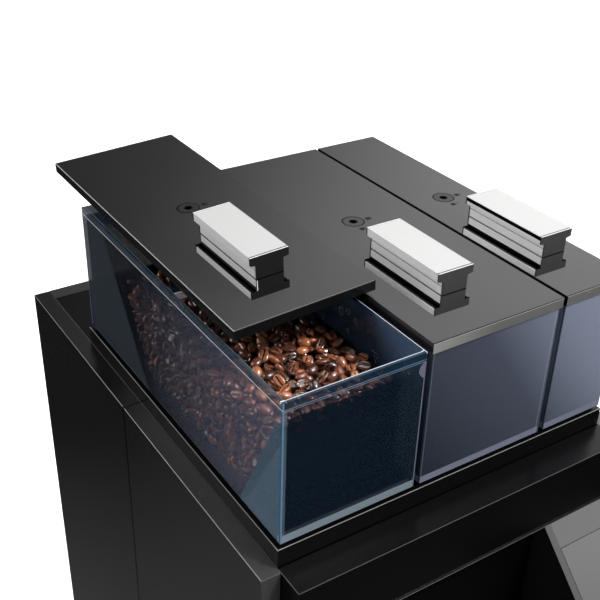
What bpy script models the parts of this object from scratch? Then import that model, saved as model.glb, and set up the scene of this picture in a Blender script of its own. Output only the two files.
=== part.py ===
"""Countertop bean to cup coffee machine with two bean containers and a powder container.

Units are metres, +Z is up, -Y is the front. The origin is the centre of the bottom of the bounding box.
"""

import math

import bmesh
import bpy
from mathutils import Matrix, Vector

# Driving dimensions of the body
BODY_BACK = 0.300
DECK_HEIGHT = 0.560
FOOT_HEIGHT = 0.020
SIDE_THICKNESS = 0.017
SHEET = 0.002
LID_TO_BACK = 0.485
FASCIA_DEPTH = 0.030
FASCIA_HEIGHT = 0.059
SIDE_SETBACK = 0.005
SEAM_SETBACK = 0.245
SEAM = 0.0008
GAP = 0.0003
OVERRUN = 0.002
EDGE = 0.0008

# Plinth, containers and lids
PLINTH_HEIGHT = 0.018
PLINTH_SKIRT = 0.018
PLINTH_WALL = 0.003
SHADOW_GROOVE = 0.004
GROOVE_INSET = 0.004
LEFT_WIDTH = 0.129
MIDDLE_WIDTH = 0.135
RIGHT_WIDTH = 0.073
CONTAINER_SPACING = 0.003
CONTAINER_HEIGHT = 0.1295
CONTAINER_WALL = 0.003
CONTAINER_INSET = 0.0015
RAMP_WALL = 0.0025
FLOOR_RISE = 0.006
FRONT_RAMP_RUN = 0.060
REAR_SHELF = 0.047
REAR_RAMP_RUN = 0.082
BAR_PLACE = 0.178
BAR_WIDTH = 0.006
BAR_HEIGHT = 0.005
THROAT_PLACE = 0.147
THROAT_RADIUS = 0.026
SHUTTER_THICKNESS = 0.0025
SHUTTER_RISE = 0.002
SHUTTER_LAP = 0.004
SHUTTER_WIDTH = 0.060
SHUTTER_LENGTH = 0.060
SHUTTER_TAB = 0.014
BEAN_DEPTH = 0.042
LID_DEPTH = 0.364
LID_THICKNESS = 0.009
LID_LAP = 0.003
RIB_HEIGHT = 0.004
RIB_WIDTH = 0.003
RIB_INSET = 0.006
RIB_BREAK = 0.012

# Where the left lid has been set down, measured from its closed place
LIFTED_RIGHT = 0.0085
LIFTED_BACK = 0.081

# Handle, an aluminium extrusion with black inserts
HANDLE_LENGTH = 0.093
HANDLE_WIDTH = 0.0345
HANDLE_HEIGHT = 0.0365
HANDLE_WEB = 0.0245
HANDLE_PLATE = 0.0068
HANDLE_FLANGE = 0.0055
HANDLE_CHAMFER = 0.001
HANDLE_SEAM = 0.0009
HANDLE_SEAM_SHARE = 0.44
HANDLE_CAP = 0.0015
INSERT_HEIGHT = 0.0009
LEFT_HANDLE_PLACE = (0.0325, 0.029)
MIDDLE_HANDLE_PLACE = (0.0252, 0.0305)
RIGHT_HANDLE_PLACE = (0.0005, 0.037)

# Lock cylinder in the middle of a lid
LOCK_SETBACK = 0.199
LOCK_RADIUS = 0.0105
LOCK_BODY = 0.002
CAM_LENGTH = 0.024
CAM_WIDTH = 0.009
CAM_THICKNESS = 0.002
KEYHOLE_RADIUS = 0.0034
KEYHOLE_DEPTH = 0.003

# Front: console, door, cup bay
CONSOLE_WIDTH = 0.084
CONSOLE_REACH = 0.085
CONSOLE_SLOPE = math.radians(45)
CONSOLE_LIP = 0.0125
CONSOLE_HEIGHT = 0.1625
CONSOLE_WALL = 0.004
DISPLAY_MARGIN = 0.007
DISPLAY_SETBACK = 0.023
DISPLAY_LENGTH = 0.074
DISPLAY_THICKNESS = 0.003
BUTTON_RADIUS = 0.006
BUTTON_HEIGHT = 0.006
BUTTON_TRAVEL = 0.002
BUTTON_SETBACK = 0.108
TRIM_HEIGHT = 0.0023
TRIM_DEPTH = 0.003
DOOR_SETBACK = 0.010
DOOR_THICKNESS = 0.018
DOOR_BELOW_CONSOLE_FOOT = 0.036
DOOR_CLEARANCE = 0.0013
HINGE_INSET = 0.005
HINGE_RADIUS = 0.002
HINGE_END = 0.0025
BAY_BOTTOM = 0.084
BAY_WALL = 0.003
SPOUT_WIDTH = 0.090
SPOUT_REACH = 0.070
SPOUT_BELOW_DOOR = 0.045
SPOUT_HEIGHT = 0.080
SPOUT_NOSE = 0.025
SPOUT_PLATE = 0.006
SPOUT_PLATE_HEIGHT = 0.195
SPOUT_PLATE_WIDTH = 0.060
NOZZLE_RADIUS = 0.006
NOZZLE_BORE = 0.004
NOZZLE_LENGTH = 0.020
NOZZLE_SPACING = 0.040
WATER_INSET = 0.0427
WATER_ABOVE_DOOR_FOOT = 0.020
WATER_REACH = 0.045
WATER_RADIUS = 0.0055
WATER_DROP = 0.045
WATER_STEPS = 6

# Base, drip tray and grounds drawer
BASE_FRONT = -0.285
BASE_WALL = 0.003
BASE_HEIGHT = 0.0237
RUNNER_WIDTH = 0.008
TRAY_CLEARANCE = 0.008
TRAY_BACK = -0.110
TRAY_FRONT = -0.300
TRAY_BOTTOM = 0.044
TRAY_HEIGHT = 0.034
TRAY_WALL = 0.0025
GRID_THICKNESS = 0.003
GRID_OVERLAP = 0.0015
GRID_SLOTS = 9
SLOT_WIDTH = 0.006
SLOT_MARGIN = 0.016
DRAWER_WIDTH = 0.071
DRAWER_RIM_DROP = 0.0345
DRAWER_TO_POST = 0.0005
DRAWER_WALL = 0.0025
DRAWER_CLEARANCE = 0.0015
DRAWER_FRONT_THICKNESS = 0.010
PULL_WIDTH = 0.044
PULL_HEIGHT = 0.012
PULL_DEPTH = 0.006
FOOT_RADIUS = 0.019
FOOT_INSET = 0.032
FOOT_SOLE_SHARE = 0.86
FOOT_FLARE_SHARE = 0.2

# Frame and inside
POST = 0.020
POST_CLEARANCE = 0.0035
POST_SETBACK = 0.0913
POST_TO_BACK = 0.010
BULKHEAD_THICKNESS = 0.003
BACK_SHEET = 0.004
DECK_COVER_THICKNESS = 0.008
RAIL_DEPTH = 0.019
VENT_COUNT = 7
VENT_WIDTH = 0.070
VENT_HEIGHT = 0.006
VENT_PITCH = 0.013
VENTS_BELOW_FAN = 0.150
VENT_INSET = 0.083
GRINDER_NECK = 0.031
GRINDER_BORE = 0.027
GRINDER_RADIUS = 0.050
GRINDER_CUP = 0.044
GRINDER_NECK_LENGTH = 0.070
GRINDER_BODY_HEIGHT = 0.075
GRINDER_FLOOR = 0.003
MOTOR_RADIUS = 0.041
MOTOR_HEIGHT = 0.110
BURR_RADIUS = 0.040
BURR_HEIGHT = 0.034
BURR_TEETH = 12
BURR_SHARES = ((1.0, 0.0), (0.8, 1.0), (0.25, 1.4))
BURR_ROOT_SHARE = 0.86
AUGER_RADIUS = 0.011
AUGER_BLADE = 0.004
AUGER_SHAFT = 0.003
AUGER_HEIGHT = 0.014
AUGER_HALF_TURNS = 5
AUGER_STEPS = 8
BOWL_RADIUS = 0.028
BOWL_WALL = 0.002
BOWL_DROP = 0.027
BOWL_NECK_HEIGHT = 0.015
BOWL_SIDE_HEIGHT = 0.028
BOWL_FUNNEL_HEIGHT = 0.030
BOWL_OUTLET = 0.008
BOWL_NECK_SHARE = 0.7
IMPELLER_RADIUS = 0.017
IMPELLER_HEIGHT = 0.009
IMPELLER_BLADES = 6
IMPELLER_ROOT_SHARE = 0.3
BREW_WIDTH = 0.0727
BREW_INSET = 0.005
BREW_ABOVE_DRAWER = 0.0048
BREW_DROP = 0.027
BREW_SETBACK = 0.005
BREW_PLATE = 0.003
BREW_AXIS_SETBACK = 0.042
CHAMBER_RADIUS = 0.032
CHAMBER_BORE = 0.027
CHAMBER_HEIGHT = 0.095
PISTON_HEIGHT = 0.060
PISTON_LIFT = 0.006
ROD_RADIUS = 0.008
ROD_ABOVE_FRAME = 0.004
BOILER_RADIUS = 0.045
BOILER_LENGTH = 0.180
BOILER_INSET = 0.073
BOILER_Y = 0.060
BOILER_FOOT = 0.030
BOILER_END_SHARE = 0.7
BOILER_DOME_SHARE = 0.3
PUMP_INSET = 0.153
PUMP_Y = 0.060
PUMP_WIDTH = 0.060
PUMP_LENGTH = 0.090
PUMP_HEIGHT = 0.045
PUMP_MOTOR_RADIUS = 0.022
BOARD_INSET = 0.033
BOARD_Y = 0.060
BOARD_LENGTH = 0.180
BOARD_HEIGHT = 0.3067
BOARD_THICKNESS = 0.003
CHIP_HEIGHT = 0.012
CHIP_SHARES = ((0.1, 0.7, 0.2, 0.15), (0.4, 0.7, 0.3, 0.1), (0.15, 0.4, 0.15, 0.2), (0.5, 0.4, 0.2, 0.2))
FAN_RADIUS = 0.034
FAN_DEPTH = 0.014
FAN_HUB = 0.012
FAN_BLADES = 7
FAN_INSET = 0.093
FAN_DROP = 0.142
INLET_INSET = 0.073
INLET_Z = 0.080
INLET_WIDTH = 0.050
INLET_HEIGHT = 0.034
INLET_DEPTH = 0.028
SWITCH_INSET = 0.133
SWITCH_WIDTH = 0.024
SWITCH_HEIGHT = 0.018
SWITCH_DEPTH = 0.014
SWITCH_ROCK = math.radians(10)
ROCKER_SHARE = 0.85
ROCKER_ROOT_SHARE = 0.75
BARB_INSET = 0.168
BARB_RADIUS = 0.010
BARB_BORE = 0.007
BARB_LENGTH = 0.006

# Levels and lines worked out from the sizes above
ZONE_WIDTH = LEFT_WIDTH + MIDDLE_WIDTH + RIGHT_WIDTH + 2 * CONTAINER_SPACING
INNER_X = ZONE_WIDTH / 2 + CONTAINER_INSET
BODY_WIDTH = 2 * (INNER_X + SIDE_THICKNESS)
LID_FRONT = BODY_BACK - LID_TO_BACK
POST_FRONT = LID_FRONT + POST_SETBACK
POST_BACK = BODY_BACK - POST_TO_BACK
BULKHEAD_FRONT = POST_FRONT - GAP - BULKHEAD_THICKNESS
DRAWER_BACK = POST_FRONT - DRAWER_TO_POST
BREW_FRONT = LID_FRONT + BREW_SETBACK
BREW_AXIS_Y = BREW_FRONT + BREW_AXIS_SETBACK
FASCIA_FRONT = LID_FRONT - FASCIA_DEPTH
FASCIA_BOTTOM = DECK_HEIGHT - FASCIA_HEIGHT
PLINTH_TOP = DECK_HEIGHT + PLINTH_HEIGHT
PLINTH_BOTTOM = DECK_HEIGHT - PLINTH_SKIRT
CONTAINER_BOTTOM = PLINTH_TOP + SHADOW_GROOVE
RIM = CONTAINER_BOTTOM + CONTAINER_HEIGHT
LID_BOTTOM = RIM - LID_LAP + GAP
FRONT_WALL = LID_FRONT + CONTAINER_INSET
BACK_WALL = LID_FRONT + LID_DEPTH - CONTAINER_INSET
THROAT_Y = LID_FRONT + THROAT_PLACE
LEFT_X = -ZONE_WIDTH / 2
MIDDLE_X = LEFT_X + LEFT_WIDTH + CONTAINER_SPACING
RIGHT_X = MIDDLE_X + MIDDLE_WIDTH + CONTAINER_SPACING
CONSOLE_X = INNER_X - CONSOLE_WIDTH
DOOR_LEFT = -INNER_X + GAP
DOOR_RIGHT = CONSOLE_X - DOOR_CLEARANCE
DOOR_FRONT = FASCIA_FRONT + DOOR_SETBACK
DOOR_BACK = DOOR_FRONT + DOOR_THICKNESS
BASE_FLOOR = FOOT_HEIGHT + BASE_WALL
BASE_RIM = FOOT_HEIGHT + BASE_HEIGHT
TRAY_LEFT = -INNER_X + RUNNER_WIDTH
TRAY_RIGHT = CONSOLE_X - TRAY_CLEARANCE
CONSOLE_TOP = FASCIA_BOTTOM - TRIM_HEIGHT - 2 * GAP
CONSOLE_FOOT = CONSOLE_TOP - CONSOLE_HEIGHT
DRAWER_FRONT_TOP = CONSOLE_FOOT - DRAWER_CLEARANCE
DRAWER_TOP = DRAWER_FRONT_TOP - DRAWER_RIM_DROP
DOOR_BOTTOM = CONSOLE_FOOT - DOOR_BELOW_CONSOLE_FOOT
SPOUT_LEFT = (DOOR_LEFT + DOOR_RIGHT - SPOUT_WIDTH) / 2
SPOUT_BOTTOM = DOOR_BOTTOM - SPOUT_BELOW_DOOR
SPOUT_PLATE_TOP = SPOUT_BOTTOM + SPOUT_PLATE_HEIGHT
WATER_PLACE = DOOR_LEFT + WATER_INSET
WATER_HEIGHT = DOOR_BOTTOM + WATER_ABOVE_DOOR_FOOT
POST_OUTER = INNER_X - POST_CLEARANCE
BREW_RIGHT = INNER_X - BREW_INSET
BREW_LEFT = BREW_RIGHT - BREW_WIDTH
BREW_BOTTOM = DRAWER_TOP + BREW_ABOVE_DRAWER
BREW_TOP = PLINTH_BOTTOM - BREW_DROP
ROD_TOP = BREW_TOP + ROD_ABOVE_FRAME
BOWL_TOP = PLINTH_BOTTOM - BOWL_DROP
BOWL_SHOULDER = BOWL_TOP - BOWL_NECK_HEIGHT
BOWL_WAIST = BOWL_SHOULDER - BOWL_SIDE_HEIGHT
BOWL_BOTTOM = BOWL_WAIST - BOWL_FUNNEL_HEIGHT
BOILER_X = -INNER_X + BOILER_INSET
PUMP_X = INNER_X - PUMP_INSET
BOARD_X = INNER_X - BOARD_INSET
BOARD_TOP = BASE_FLOOR + BOARD_HEIGHT
FAN_X = INNER_X - FAN_INSET
FAN_Z = PLINTH_BOTTOM - FAN_DROP
VENT_BOTTOM = FAN_Z - VENTS_BELOW_FAN
VENT_CENTRE = -INNER_X + VENT_INSET
INLET_X = INNER_X - INLET_INSET
SWITCH_X = INNER_X - SWITCH_INSET
BARB_X = INNER_X - BARB_INSET
BARB_Z = INLET_Z - INLET_HEIGHT / 2
TRAY_TOP = TRAY_BOTTOM + TRAY_HEIGHT

FINISHES = {
    "black_gloss": ((0.012, 0.012, 0.013, 1), 0.12, 0.0),
    "black_satin": ((0.02, 0.02, 0.02, 1), 0.38, 0.0),
    "aluminium": ((0.75, 0.75, 0.76, 1), 0.28, 1.0),
    "steel": ((0.55, 0.55, 0.56, 1), 0.3, 1.0),
    "chrome": ((0.85, 0.85, 0.86, 1), 0.08, 1.0),
    "smoke": ((0.06, 0.10, 0.15, 1), 0.06, 0.0),
    "milky": ((0.24, 0.27, 0.35, 1), 0.2, 0.0),
    "beans": ((0.09, 0.035, 0.018, 1), 0.4, 0.0),
    "rubber": ((0.015, 0.015, 0.015, 1), 0.8, 0.0),
    "glass": ((0.12, 0.12, 0.125, 1), 0.05, 0.0),
    "brass": ((0.7, 0.5, 0.22, 1), 0.3, 1.0),
    "board": ((0.02, 0.12, 0.05, 1), 0.5, 0.0),
    "white_plastic": ((0.7, 0.7, 0.68, 1), 0.4, 0.0),
}
ROUND = 32
SMALL_ROUND = 20
EDGE_ANGLE = math.radians(40)
SMOOTH_ANGLE = math.radians(35)
BOX_FACES = {
    (0, -1): (0, 1, 3, 2),
    (0, 1): (4, 6, 7, 5),
    (1, -1): (0, 4, 5, 1),
    (1, 1): (2, 3, 7, 6),
    (2, -1): (0, 2, 6, 4),
    (2, 1): (1, 5, 7, 3),
}


def clear_scene():
    for old in list(bpy.data.objects):
        bpy.data.objects.remove(old, do_unlink=True)


def finish(name):
    """The Principled material of one finish."""
    found = bpy.data.materials.get(name)
    if found:
        return found
    colour, roughness, metallic = FINISHES[name]
    made = bpy.data.materials.new(name)
    made.use_nodes = True
    shader = made.node_tree.nodes["Principled BSDF"]
    shader.inputs["Base Color"].default_value = colour
    shader.inputs["Roughness"].default_value = roughness
    shader.inputs["Metallic"].default_value = metallic
    made.diffuse_color = colour
    return made


def add_object(name, mesh_maker, material, frame=None):
    """Turns a bmesh into a named object, in the given frame."""
    bmesh.ops.recalc_face_normals(mesh_maker, faces=mesh_maker.faces)
    mesh = bpy.data.meshes.new(name)
    mesh_maker.to_mesh(mesh)
    mesh_maker.free()
    mesh.materials.append(finish(material))
    made = bpy.data.objects.new(name, mesh)
    bpy.context.scene.collection.objects.link(made)
    made.parent = frame
    return made


def centre_on(made, point):
    """Moves an object's origin to a point on its joint's axis and leaves its shape in place."""
    made.data.transform(Matrix.Translation(-Vector(point)))
    made.location = point
    return made


def box_corners(out, low, high):
    places = [(x, y, z) for x in (low[0], high[0]) for y in (low[1], high[1]) for z in (low[2], high[2])]
    return [out.verts.new(point) for point in places]


def box_mesh(low, high, out=None):
    out = out or bmesh.new()
    corners = box_corners(out, low, high)
    for face in BOX_FACES.values():
        out.faces.new([corners[i] for i in face])
    return out


def block(name, low, high, material, frame=None, edge=None):
    made = add_object(name, box_mesh(low, high), material, frame)
    if edge:
        soften(made, edge)
    return made


def soften(made, width, segments=1):
    bevel = made.modifiers.new("edges", "BEVEL")
    bevel.width = width
    bevel.segments = segments
    bevel.limit_method = "ANGLE"
    bevel.angle_limit = EDGE_ANGLE


def place(axis, across, up, along):
    """A point from two outline coordinates and one along the axis."""
    if axis == "X":
        return (along, across, up)
    if axis == "Y":
        return (across, along, up)
    return (across, up, along)


def loft_mesh(rings, out=None):
    """A closed solid through rings that have the same number of points."""
    out = out or bmesh.new()
    made = [[out.verts.new(point) for point in ring] for ring in rings]
    count = len(made[0])
    for lower, upper in zip(made, made[1:]):
        for i in range(count):
            j = (i + 1) % count
            out.faces.new((lower[i], lower[j], upper[j], upper[i]))
    out.faces.new(made[0][::-1])
    out.faces.new(made[-1])
    return out


def prism(name, outline, axis, start, end, material, frame=None):
    rings = [[place(axis, a, b, at) for a, b in outline] for at in (start, end)]
    return add_object(name, loft_mesh(rings), material, frame)


def circle(radius, centre=(0, 0), sides=ROUND):
    turns = [2 * math.pi * i / sides for i in range(sides)]
    return [(centre[0] + radius * math.cos(turn), centre[1] + radius * math.sin(turn)) for turn in turns]


def star(outer, inner, teeth, centre=(0, 0)):
    """An outline with square-shouldered teeth."""
    points = []
    for i in range(teeth * 4):
        radius = outer if i % 4 in (1, 2) else inner
        turn = 2 * math.pi * i / (teeth * 4)
        points.append((centre[0] + radius * math.cos(turn), centre[1] + radius * math.sin(turn)))
    return points


def rod(name, radius, axis, centre, start, end, material, frame=None, sides=ROUND):
    made = prism(name, circle(radius, centre, sides), axis, start, end, material, frame)
    round_off(made)
    return made


def round_off(made):
    made.data.shade_smooth()
    made.data.set_sharp_from_angle(angle=SMOOTH_ANGLE)


def turned(name, profile, axis, centre, material, frame=None, sides=ROUND):
    """A closed solid of revolution: profile points are (radius, place along the axis)."""
    rings = []
    for radius, along in profile:
        rings.append([place(axis, a, b, along) for a, b in circle(radius, centre, sides)])
    made = add_object(name, loft_mesh(rings), material, frame)
    round_off(made)
    return made


def shell(name, low, high, wall, open_axis, open_sign, material, frame=None):
    """A box with one open side and walls of one thickness."""
    inner_low = [value + wall for value in low]
    inner_high = [value - wall for value in high]
    if open_sign > 0:
        inner_high[open_axis] = high[open_axis]
    else:
        inner_low[open_axis] = low[open_axis]
    out = bmesh.new()
    outer = box_corners(out, low, high)
    inner = box_corners(out, inner_low, inner_high)
    for side, face in BOX_FACES.items():
        if side == (open_axis, open_sign):
            for a, b in zip(face, face[1:] + face[:1]):
                out.faces.new((outer[a], outer[b], inner[b], inner[a]))
            continue
        out.faces.new([outer[i] for i in face])
        out.faces.new([inner[i] for i in reversed(face)])
    return add_object(name, out, material, frame)


def combine(made, tool, operation):
    """Adds a Boolean with a hidden tool object."""
    tool.hide_render = True
    tool.display_type = "WIRE"
    step = made.modifiers.new(operation.lower(), "BOOLEAN")
    step.operation = operation
    step.object = tool
    step.solver = "EXACT"


def cut(made, *tools):
    for tool in tools:
        combine(made, tool, "DIFFERENCE")


def weld(made, *tools):
    for tool in tools:
        combine(made, tool, "UNION")


def frame_at(name, location, tilt=0.0):
    frame = bpy.data.objects.new(name, None)
    frame.location = location
    frame.rotation_euler = (0, tilt, 0)
    bpy.context.scene.collection.objects.link(frame)
    return frame


# Containers, lids and what they hold

def container_lines(offset=0.0):
    """The inside outline of a container in Y and Z, drawn in by an offset: front ramp, floor, rear ramp."""
    front = FRONT_WALL + CONTAINER_WALL
    shelf = BACK_WALL - REAR_SHELF
    floor = CONTAINER_BOTTOM + FLOOR_RISE
    return (
        (front + offset, RIM - BAR_HEIGHT),
        (FRONT_WALL + FRONT_RAMP_RUN + offset, floor + offset),
        (shelf - REAR_RAMP_RUN - offset, floor + offset),
        (shelf - offset, RIM - BAR_HEIGHT),
    )


def container(name, left, width, material):
    """An open box with a sloping front and rear ramp, a cross bar, a rear shelf and a throat."""
    low = (left + CONTAINER_INSET, FRONT_WALL, CONTAINER_BOTTOM)
    high = (left + width - CONTAINER_INSET, BACK_WALL, RIM)
    made = block(name, low, high, material)
    inner = (low[0] + CONTAINER_WALL, high[0] - CONTAINER_WALL)
    front_top, front_foot, rear_foot, rear_top = main = container_lines()
    under = CONTAINER_BOTTOM - OVERRUN
    thick = RAMP_WALL
    front_gap = [
        (front_top[0], under),
        (front_top[0], RIM - BAR_HEIGHT - FRONT_RAMP_RUN / 2),
        (front_foot[0] - 2 * thick, under + OVERRUN + thick),
        (front_foot[0] - 2 * thick, under),
    ]
    shelf = rear_top[0]
    back = BACK_WALL - CONTAINER_WALL
    rear_gap = [
        (rear_foot[0] + 2 * thick, under),
        (rear_foot[0] + 2 * thick, under + OVERRUN + thick),
        (shelf + thick, RIM - BAR_HEIGHT - thick),
        (back, RIM - BAR_HEIGHT - thick),
        (back, under),
    ]
    bar = LID_FRONT + BAR_PLACE
    above = RIM + OVERRUN
    sunk = RIM - BAR_HEIGHT - GAP
    throat = (left + width / 2, THROAT_Y)
    cut(
        made,
        prism(name + "_hollow", main, "X", *inner, material),
        prism(name + "_front_gap", front_gap, "X", *inner, material),
        prism(name + "_rear_gap", rear_gap, "X", *inner, material),
        block(name + "_front_mouth", (inner[0], front_top[0], sunk), (inner[1], bar, above), material),
        block(name + "_rear_mouth", (inner[0], bar + BAR_WIDTH, sunk), (inner[1], shelf, above), material),
        rod(name + "_throat", THROAT_RADIUS, "Z", throat, under, front_foot[1] + thick, material),
    )
    return made


def shutter_slot(made, left, width):
    """The slot in the floor that the shutter slides in."""
    middle = left + width / 2
    half = SHUTTER_WIDTH / 2 + GAP
    low = CONTAINER_BOTTOM + SHUTTER_RISE - GAP
    start = THROAT_Y - THROAT_RADIUS - SHUTTER_LAP
    end = THROAT_Y + THROAT_RADIUS + SHUTTER_LENGTH + SHUTTER_TAB + SHUTTER_LAP
    high = low + SHUTTER_THICKNESS + 2 * GAP
    cut(made, block(made.name + "_slot", (middle - half, start, low), (middle + half, end, high), "steel"))


def shutter(name, left, width):
    """The plate that closes a container's throat, open here, with a tab behind to push it."""
    middle = left + width / 2
    low = CONTAINER_BOTTOM + SHUTTER_RISE
    top = low + SHUTTER_THICKNESS
    start = THROAT_Y + THROAT_RADIUS + OVERRUN
    end = start + SHUTTER_LENGTH
    half = SHUTTER_WIDTH / 2
    outline = [
        (middle - half, start), (middle + half, start), (middle + half, end),
        (middle + SHUTTER_TAB, end), (middle + SHUTTER_TAB, end + SHUTTER_TAB),
        (middle - SHUTTER_TAB, end + SHUTTER_TAB), (middle - SHUTTER_TAB, end), (middle - half, end),
    ]
    return prism(name, outline, "Z", low, top, "steel")


def beans(left, width):
    """The bed of beans in the left container, filled to one level."""
    front_top, front_foot, rear_foot, rear_top = container_lines(2 * GAP)
    level = RIM - BEAN_DEPTH
    lift = 2 * GAP

    def at(foot, top):
        share = (level - foot[1]) / (top[1] - foot[1])
        return (foot[0] + share * (top[0] - foot[0]), level)

    outline = [
        at(front_foot, front_top),
        (front_foot[0], front_foot[1] + lift),
        (rear_foot[0], rear_foot[1] + lift),
        at(rear_foot, rear_top),
    ]
    wall = CONTAINER_INSET + CONTAINER_WALL + 2 * GAP
    return prism("coffee_beans", outline, "X", left + wall, left + width - wall, "beans")


def lid(name, frame, width, bar_from_front):
    """A flat plate with a skirt round the rim and ribs below. Its lower front left corner is its frame's origin."""
    made = block(name, (0, 0, 0), (width, LID_DEPTH, LID_THICKNESS), "black_gloss", frame)
    skirt = CONTAINER_INSET - GAP
    recess_high = (width - skirt, LID_DEPTH - skirt, LID_LAP)
    cut(made, block(name + "_recess", (skirt, skirt, -OVERRUN), recess_high, "black_gloss", frame))
    first, last = RIB_INSET, width - RIB_INSET
    near, far = RIB_INSET, LID_DEPTH - REAR_SHELF - RIB_INSET
    bar = (bar_from_front - RIB_BREAK, bar_from_front + BAR_WIDTH + RIB_BREAK)
    top = LID_THICKNESS / 2
    left, right = first + RIB_WIDTH, last - RIB_WIDTH
    out = bmesh.new()
    for outer, inner, end in ((near, near + RIB_WIDTH, bar[0]), (far, far - RIB_WIDTH, bar[1])):
        outline = [
            (first, outer), (last, outer), (last, end), (right, end),
            (right, inner), (left, inner), (left, end), (first, end),
        ]
        loft_mesh([[(x, y, z) for x, y in outline] for z in (-RIB_HEIGHT, top)], out)
    weld(made, add_object(name + "_ribs", out, "black_gloss", frame))
    centre = (width / 2, LOCK_SETBACK)
    above = LID_THICKNESS + OVERRUN
    radius = LOCK_RADIUS + GAP
    hole = rod(name + "_lock_hole", radius, "Z", centre, -OVERRUN, above, "black_gloss", frame, SMALL_ROUND)
    cut(made, hole)
    return made


def handle_outline(low, high, centre, lower):
    """Half of the I-shaped profile: the flange half below the seam or the plate half above it."""
    web, wide = HANDLE_WEB / 2, HANDLE_WIDTH / 2
    if lower:
        right = [(wide, low), (wide, low + HANDLE_FLANGE), (web, low + HANDLE_FLANGE), (web, high)]
    else:
        plate = high - HANDLE_PLATE
        right = [(web, low), (web, plate - HANDLE_CHAMFER), (wide, plate), (wide, high)]
    left = [(-x, z) for x, z in reversed(right)]
    return [(centre + x, z) for x, z in right + left]


def handle(name, frame, place):
    """The extrusion: the lower half carries the plate half, with a narrow groove as the parting line."""
    base = LID_THICKNESS + GAP
    top = base + HANDLE_HEIGHT
    seam = base + HANDLE_HEIGHT * HANDLE_SEAM_SHARE
    offset, setback = place
    centre = offset + HANDLE_WIDTH / 2
    front, back = setback + HANDLE_CAP, setback + HANDLE_LENGTH - HANDLE_CAP
    lower = handle_outline(base, seam, centre, True)
    upper = handle_outline(seam + HANDLE_SEAM, top, centre, False)
    neck = HANDLE_WEB / 2 - 2 * HANDLE_SEAM
    right = [point for point in lower if point[0] > centre] + [
        (centre + neck, seam), (centre + neck, seam + HANDLE_SEAM)
    ] + [point for point in upper if point[0] > centre]
    left = [(2 * centre - x, z) for x, z in reversed(right)]
    return prism(name, right + left, "Y", front, back, "aluminium", frame)


def handle_inserts(name, frame, place):
    """Black end caps and the black strips that lie on the flange on both sides of the web."""
    base = LID_THICKNESS + GAP
    top = base + HANDLE_HEIGHT
    offset, near = place
    centre = offset + HANDLE_WIDTH / 2
    far = near + HANDLE_LENGTH
    wide, web = HANDLE_WIDTH / 2, HANDLE_WEB / 2
    strip = base + HANDLE_FLANGE + GAP
    flange = strip + INSERT_HEIGHT
    right = [(centre + wide, base), (centre + wide, flange), (centre + web, flange)]
    right += [point for point in handle_outline(base, top, centre, False) if point[0] > centre][1:]
    outline = right + [(2 * centre - x, z) for x, z in reversed(right)]
    made = prism(name, outline, "Y", near, near + HANDLE_CAP - GAP, "black_satin", frame)
    parts = [prism(name + "_cap", outline, "Y", far - HANDLE_CAP + GAP, far, "black_satin", frame)]
    inside = HANDLE_CAP / 2
    for side in (-1, 1):
        ends = sorted((centre + side * (web + GAP), centre + side * (wide - INSERT_HEIGHT)))
        low, high = (ends[0], near + inside, strip), (ends[1], far - inside, strip + INSERT_HEIGHT)
        parts.append(block(name + "_strip", low, high, "black_satin", frame))
    weld(made, *parts)
    return made


def lock(name, frame, width):
    """A key cylinder through the lid, with a cam below that swings under the cross bar."""
    centre = (width / 2, LOCK_SETBACK)
    bottom = -RIB_HEIGHT - LOCK_BODY
    made = rod(name, LOCK_RADIUS, "Z", (0, 0), bottom, LID_THICKNESS, "black_satin", frame, SMALL_ROUND)
    half = CAM_WIDTH / 2
    cam_end = (CAM_LENGTH - half, half, bottom + GAP)
    cam = block(name + "_cam", (-half, -half, bottom - CAM_THICKNESS), cam_end, "steel", frame)
    floor, above = LID_THICKNESS - KEYHOLE_DEPTH, LID_THICKNESS + OVERRUN
    radius = KEYHOLE_RADIUS
    keyhole = rod(name + "_keyhole", radius, "Z", (0, 0), floor, above, "black_satin", frame, SMALL_ROUND)
    for piece in (made, cam, keyhole):
        piece.location = (*centre, 0)
    weld(made, cam)
    cut(made, keyhole)
    return made


def lid_set(side, frame, width, place):
    lid("lid_" + side, frame, width, BAR_PLACE)
    handle("handle_" + side, frame, place)
    handle_inserts("handle_inserts_" + side, frame, place)
    lock("lock_" + side, frame, width)


def auger(left, width):
    """A screw that pushes the powder to the throat, with a shaft through both ramps and the rear wall."""
    x = left + width / 2
    z = CONTAINER_BOTTOM + FLOOR_RISE + AUGER_HEIGHT
    start = FRONT_WALL + FRONT_RAMP_RUN + 2 * AUGER_BLADE
    end = BACK_WALL - REAR_SHELF - REAR_RAMP_RUN - 2 * AUGER_BLADE
    steps = AUGER_HALF_TURNS * AUGER_STEPS
    half = AUGER_BLADE / 2
    shape = [(-AUGER_RADIUS, -half), (AUGER_RADIUS, -half), (AUGER_RADIUS, half), (-AUGER_RADIUS, half)]
    rings = []
    for i in range(steps + 1):
        turn = math.pi * i / AUGER_STEPS
        c, s = math.cos(turn), math.sin(turn)
        y = start + (end - start) * i / steps
        rings.append([(x + a * c - b * s, y, z + a * s + b * c) for a, b in shape])
    made = add_object("powder_auger", loft_mesh(rings), "steel")
    shaft_start = FRONT_WALL + CONTAINER_WALL + GAP
    shaft_end = BACK_WALL + AUGER_BLADE
    shaft = rod("auger_shaft", AUGER_SHAFT, "Y", (x, z), shaft_start, shaft_end, "steel", None, SMALL_ROUND)
    weld(made, shaft)
    return centre_on(made, (x, 0, z))


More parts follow.
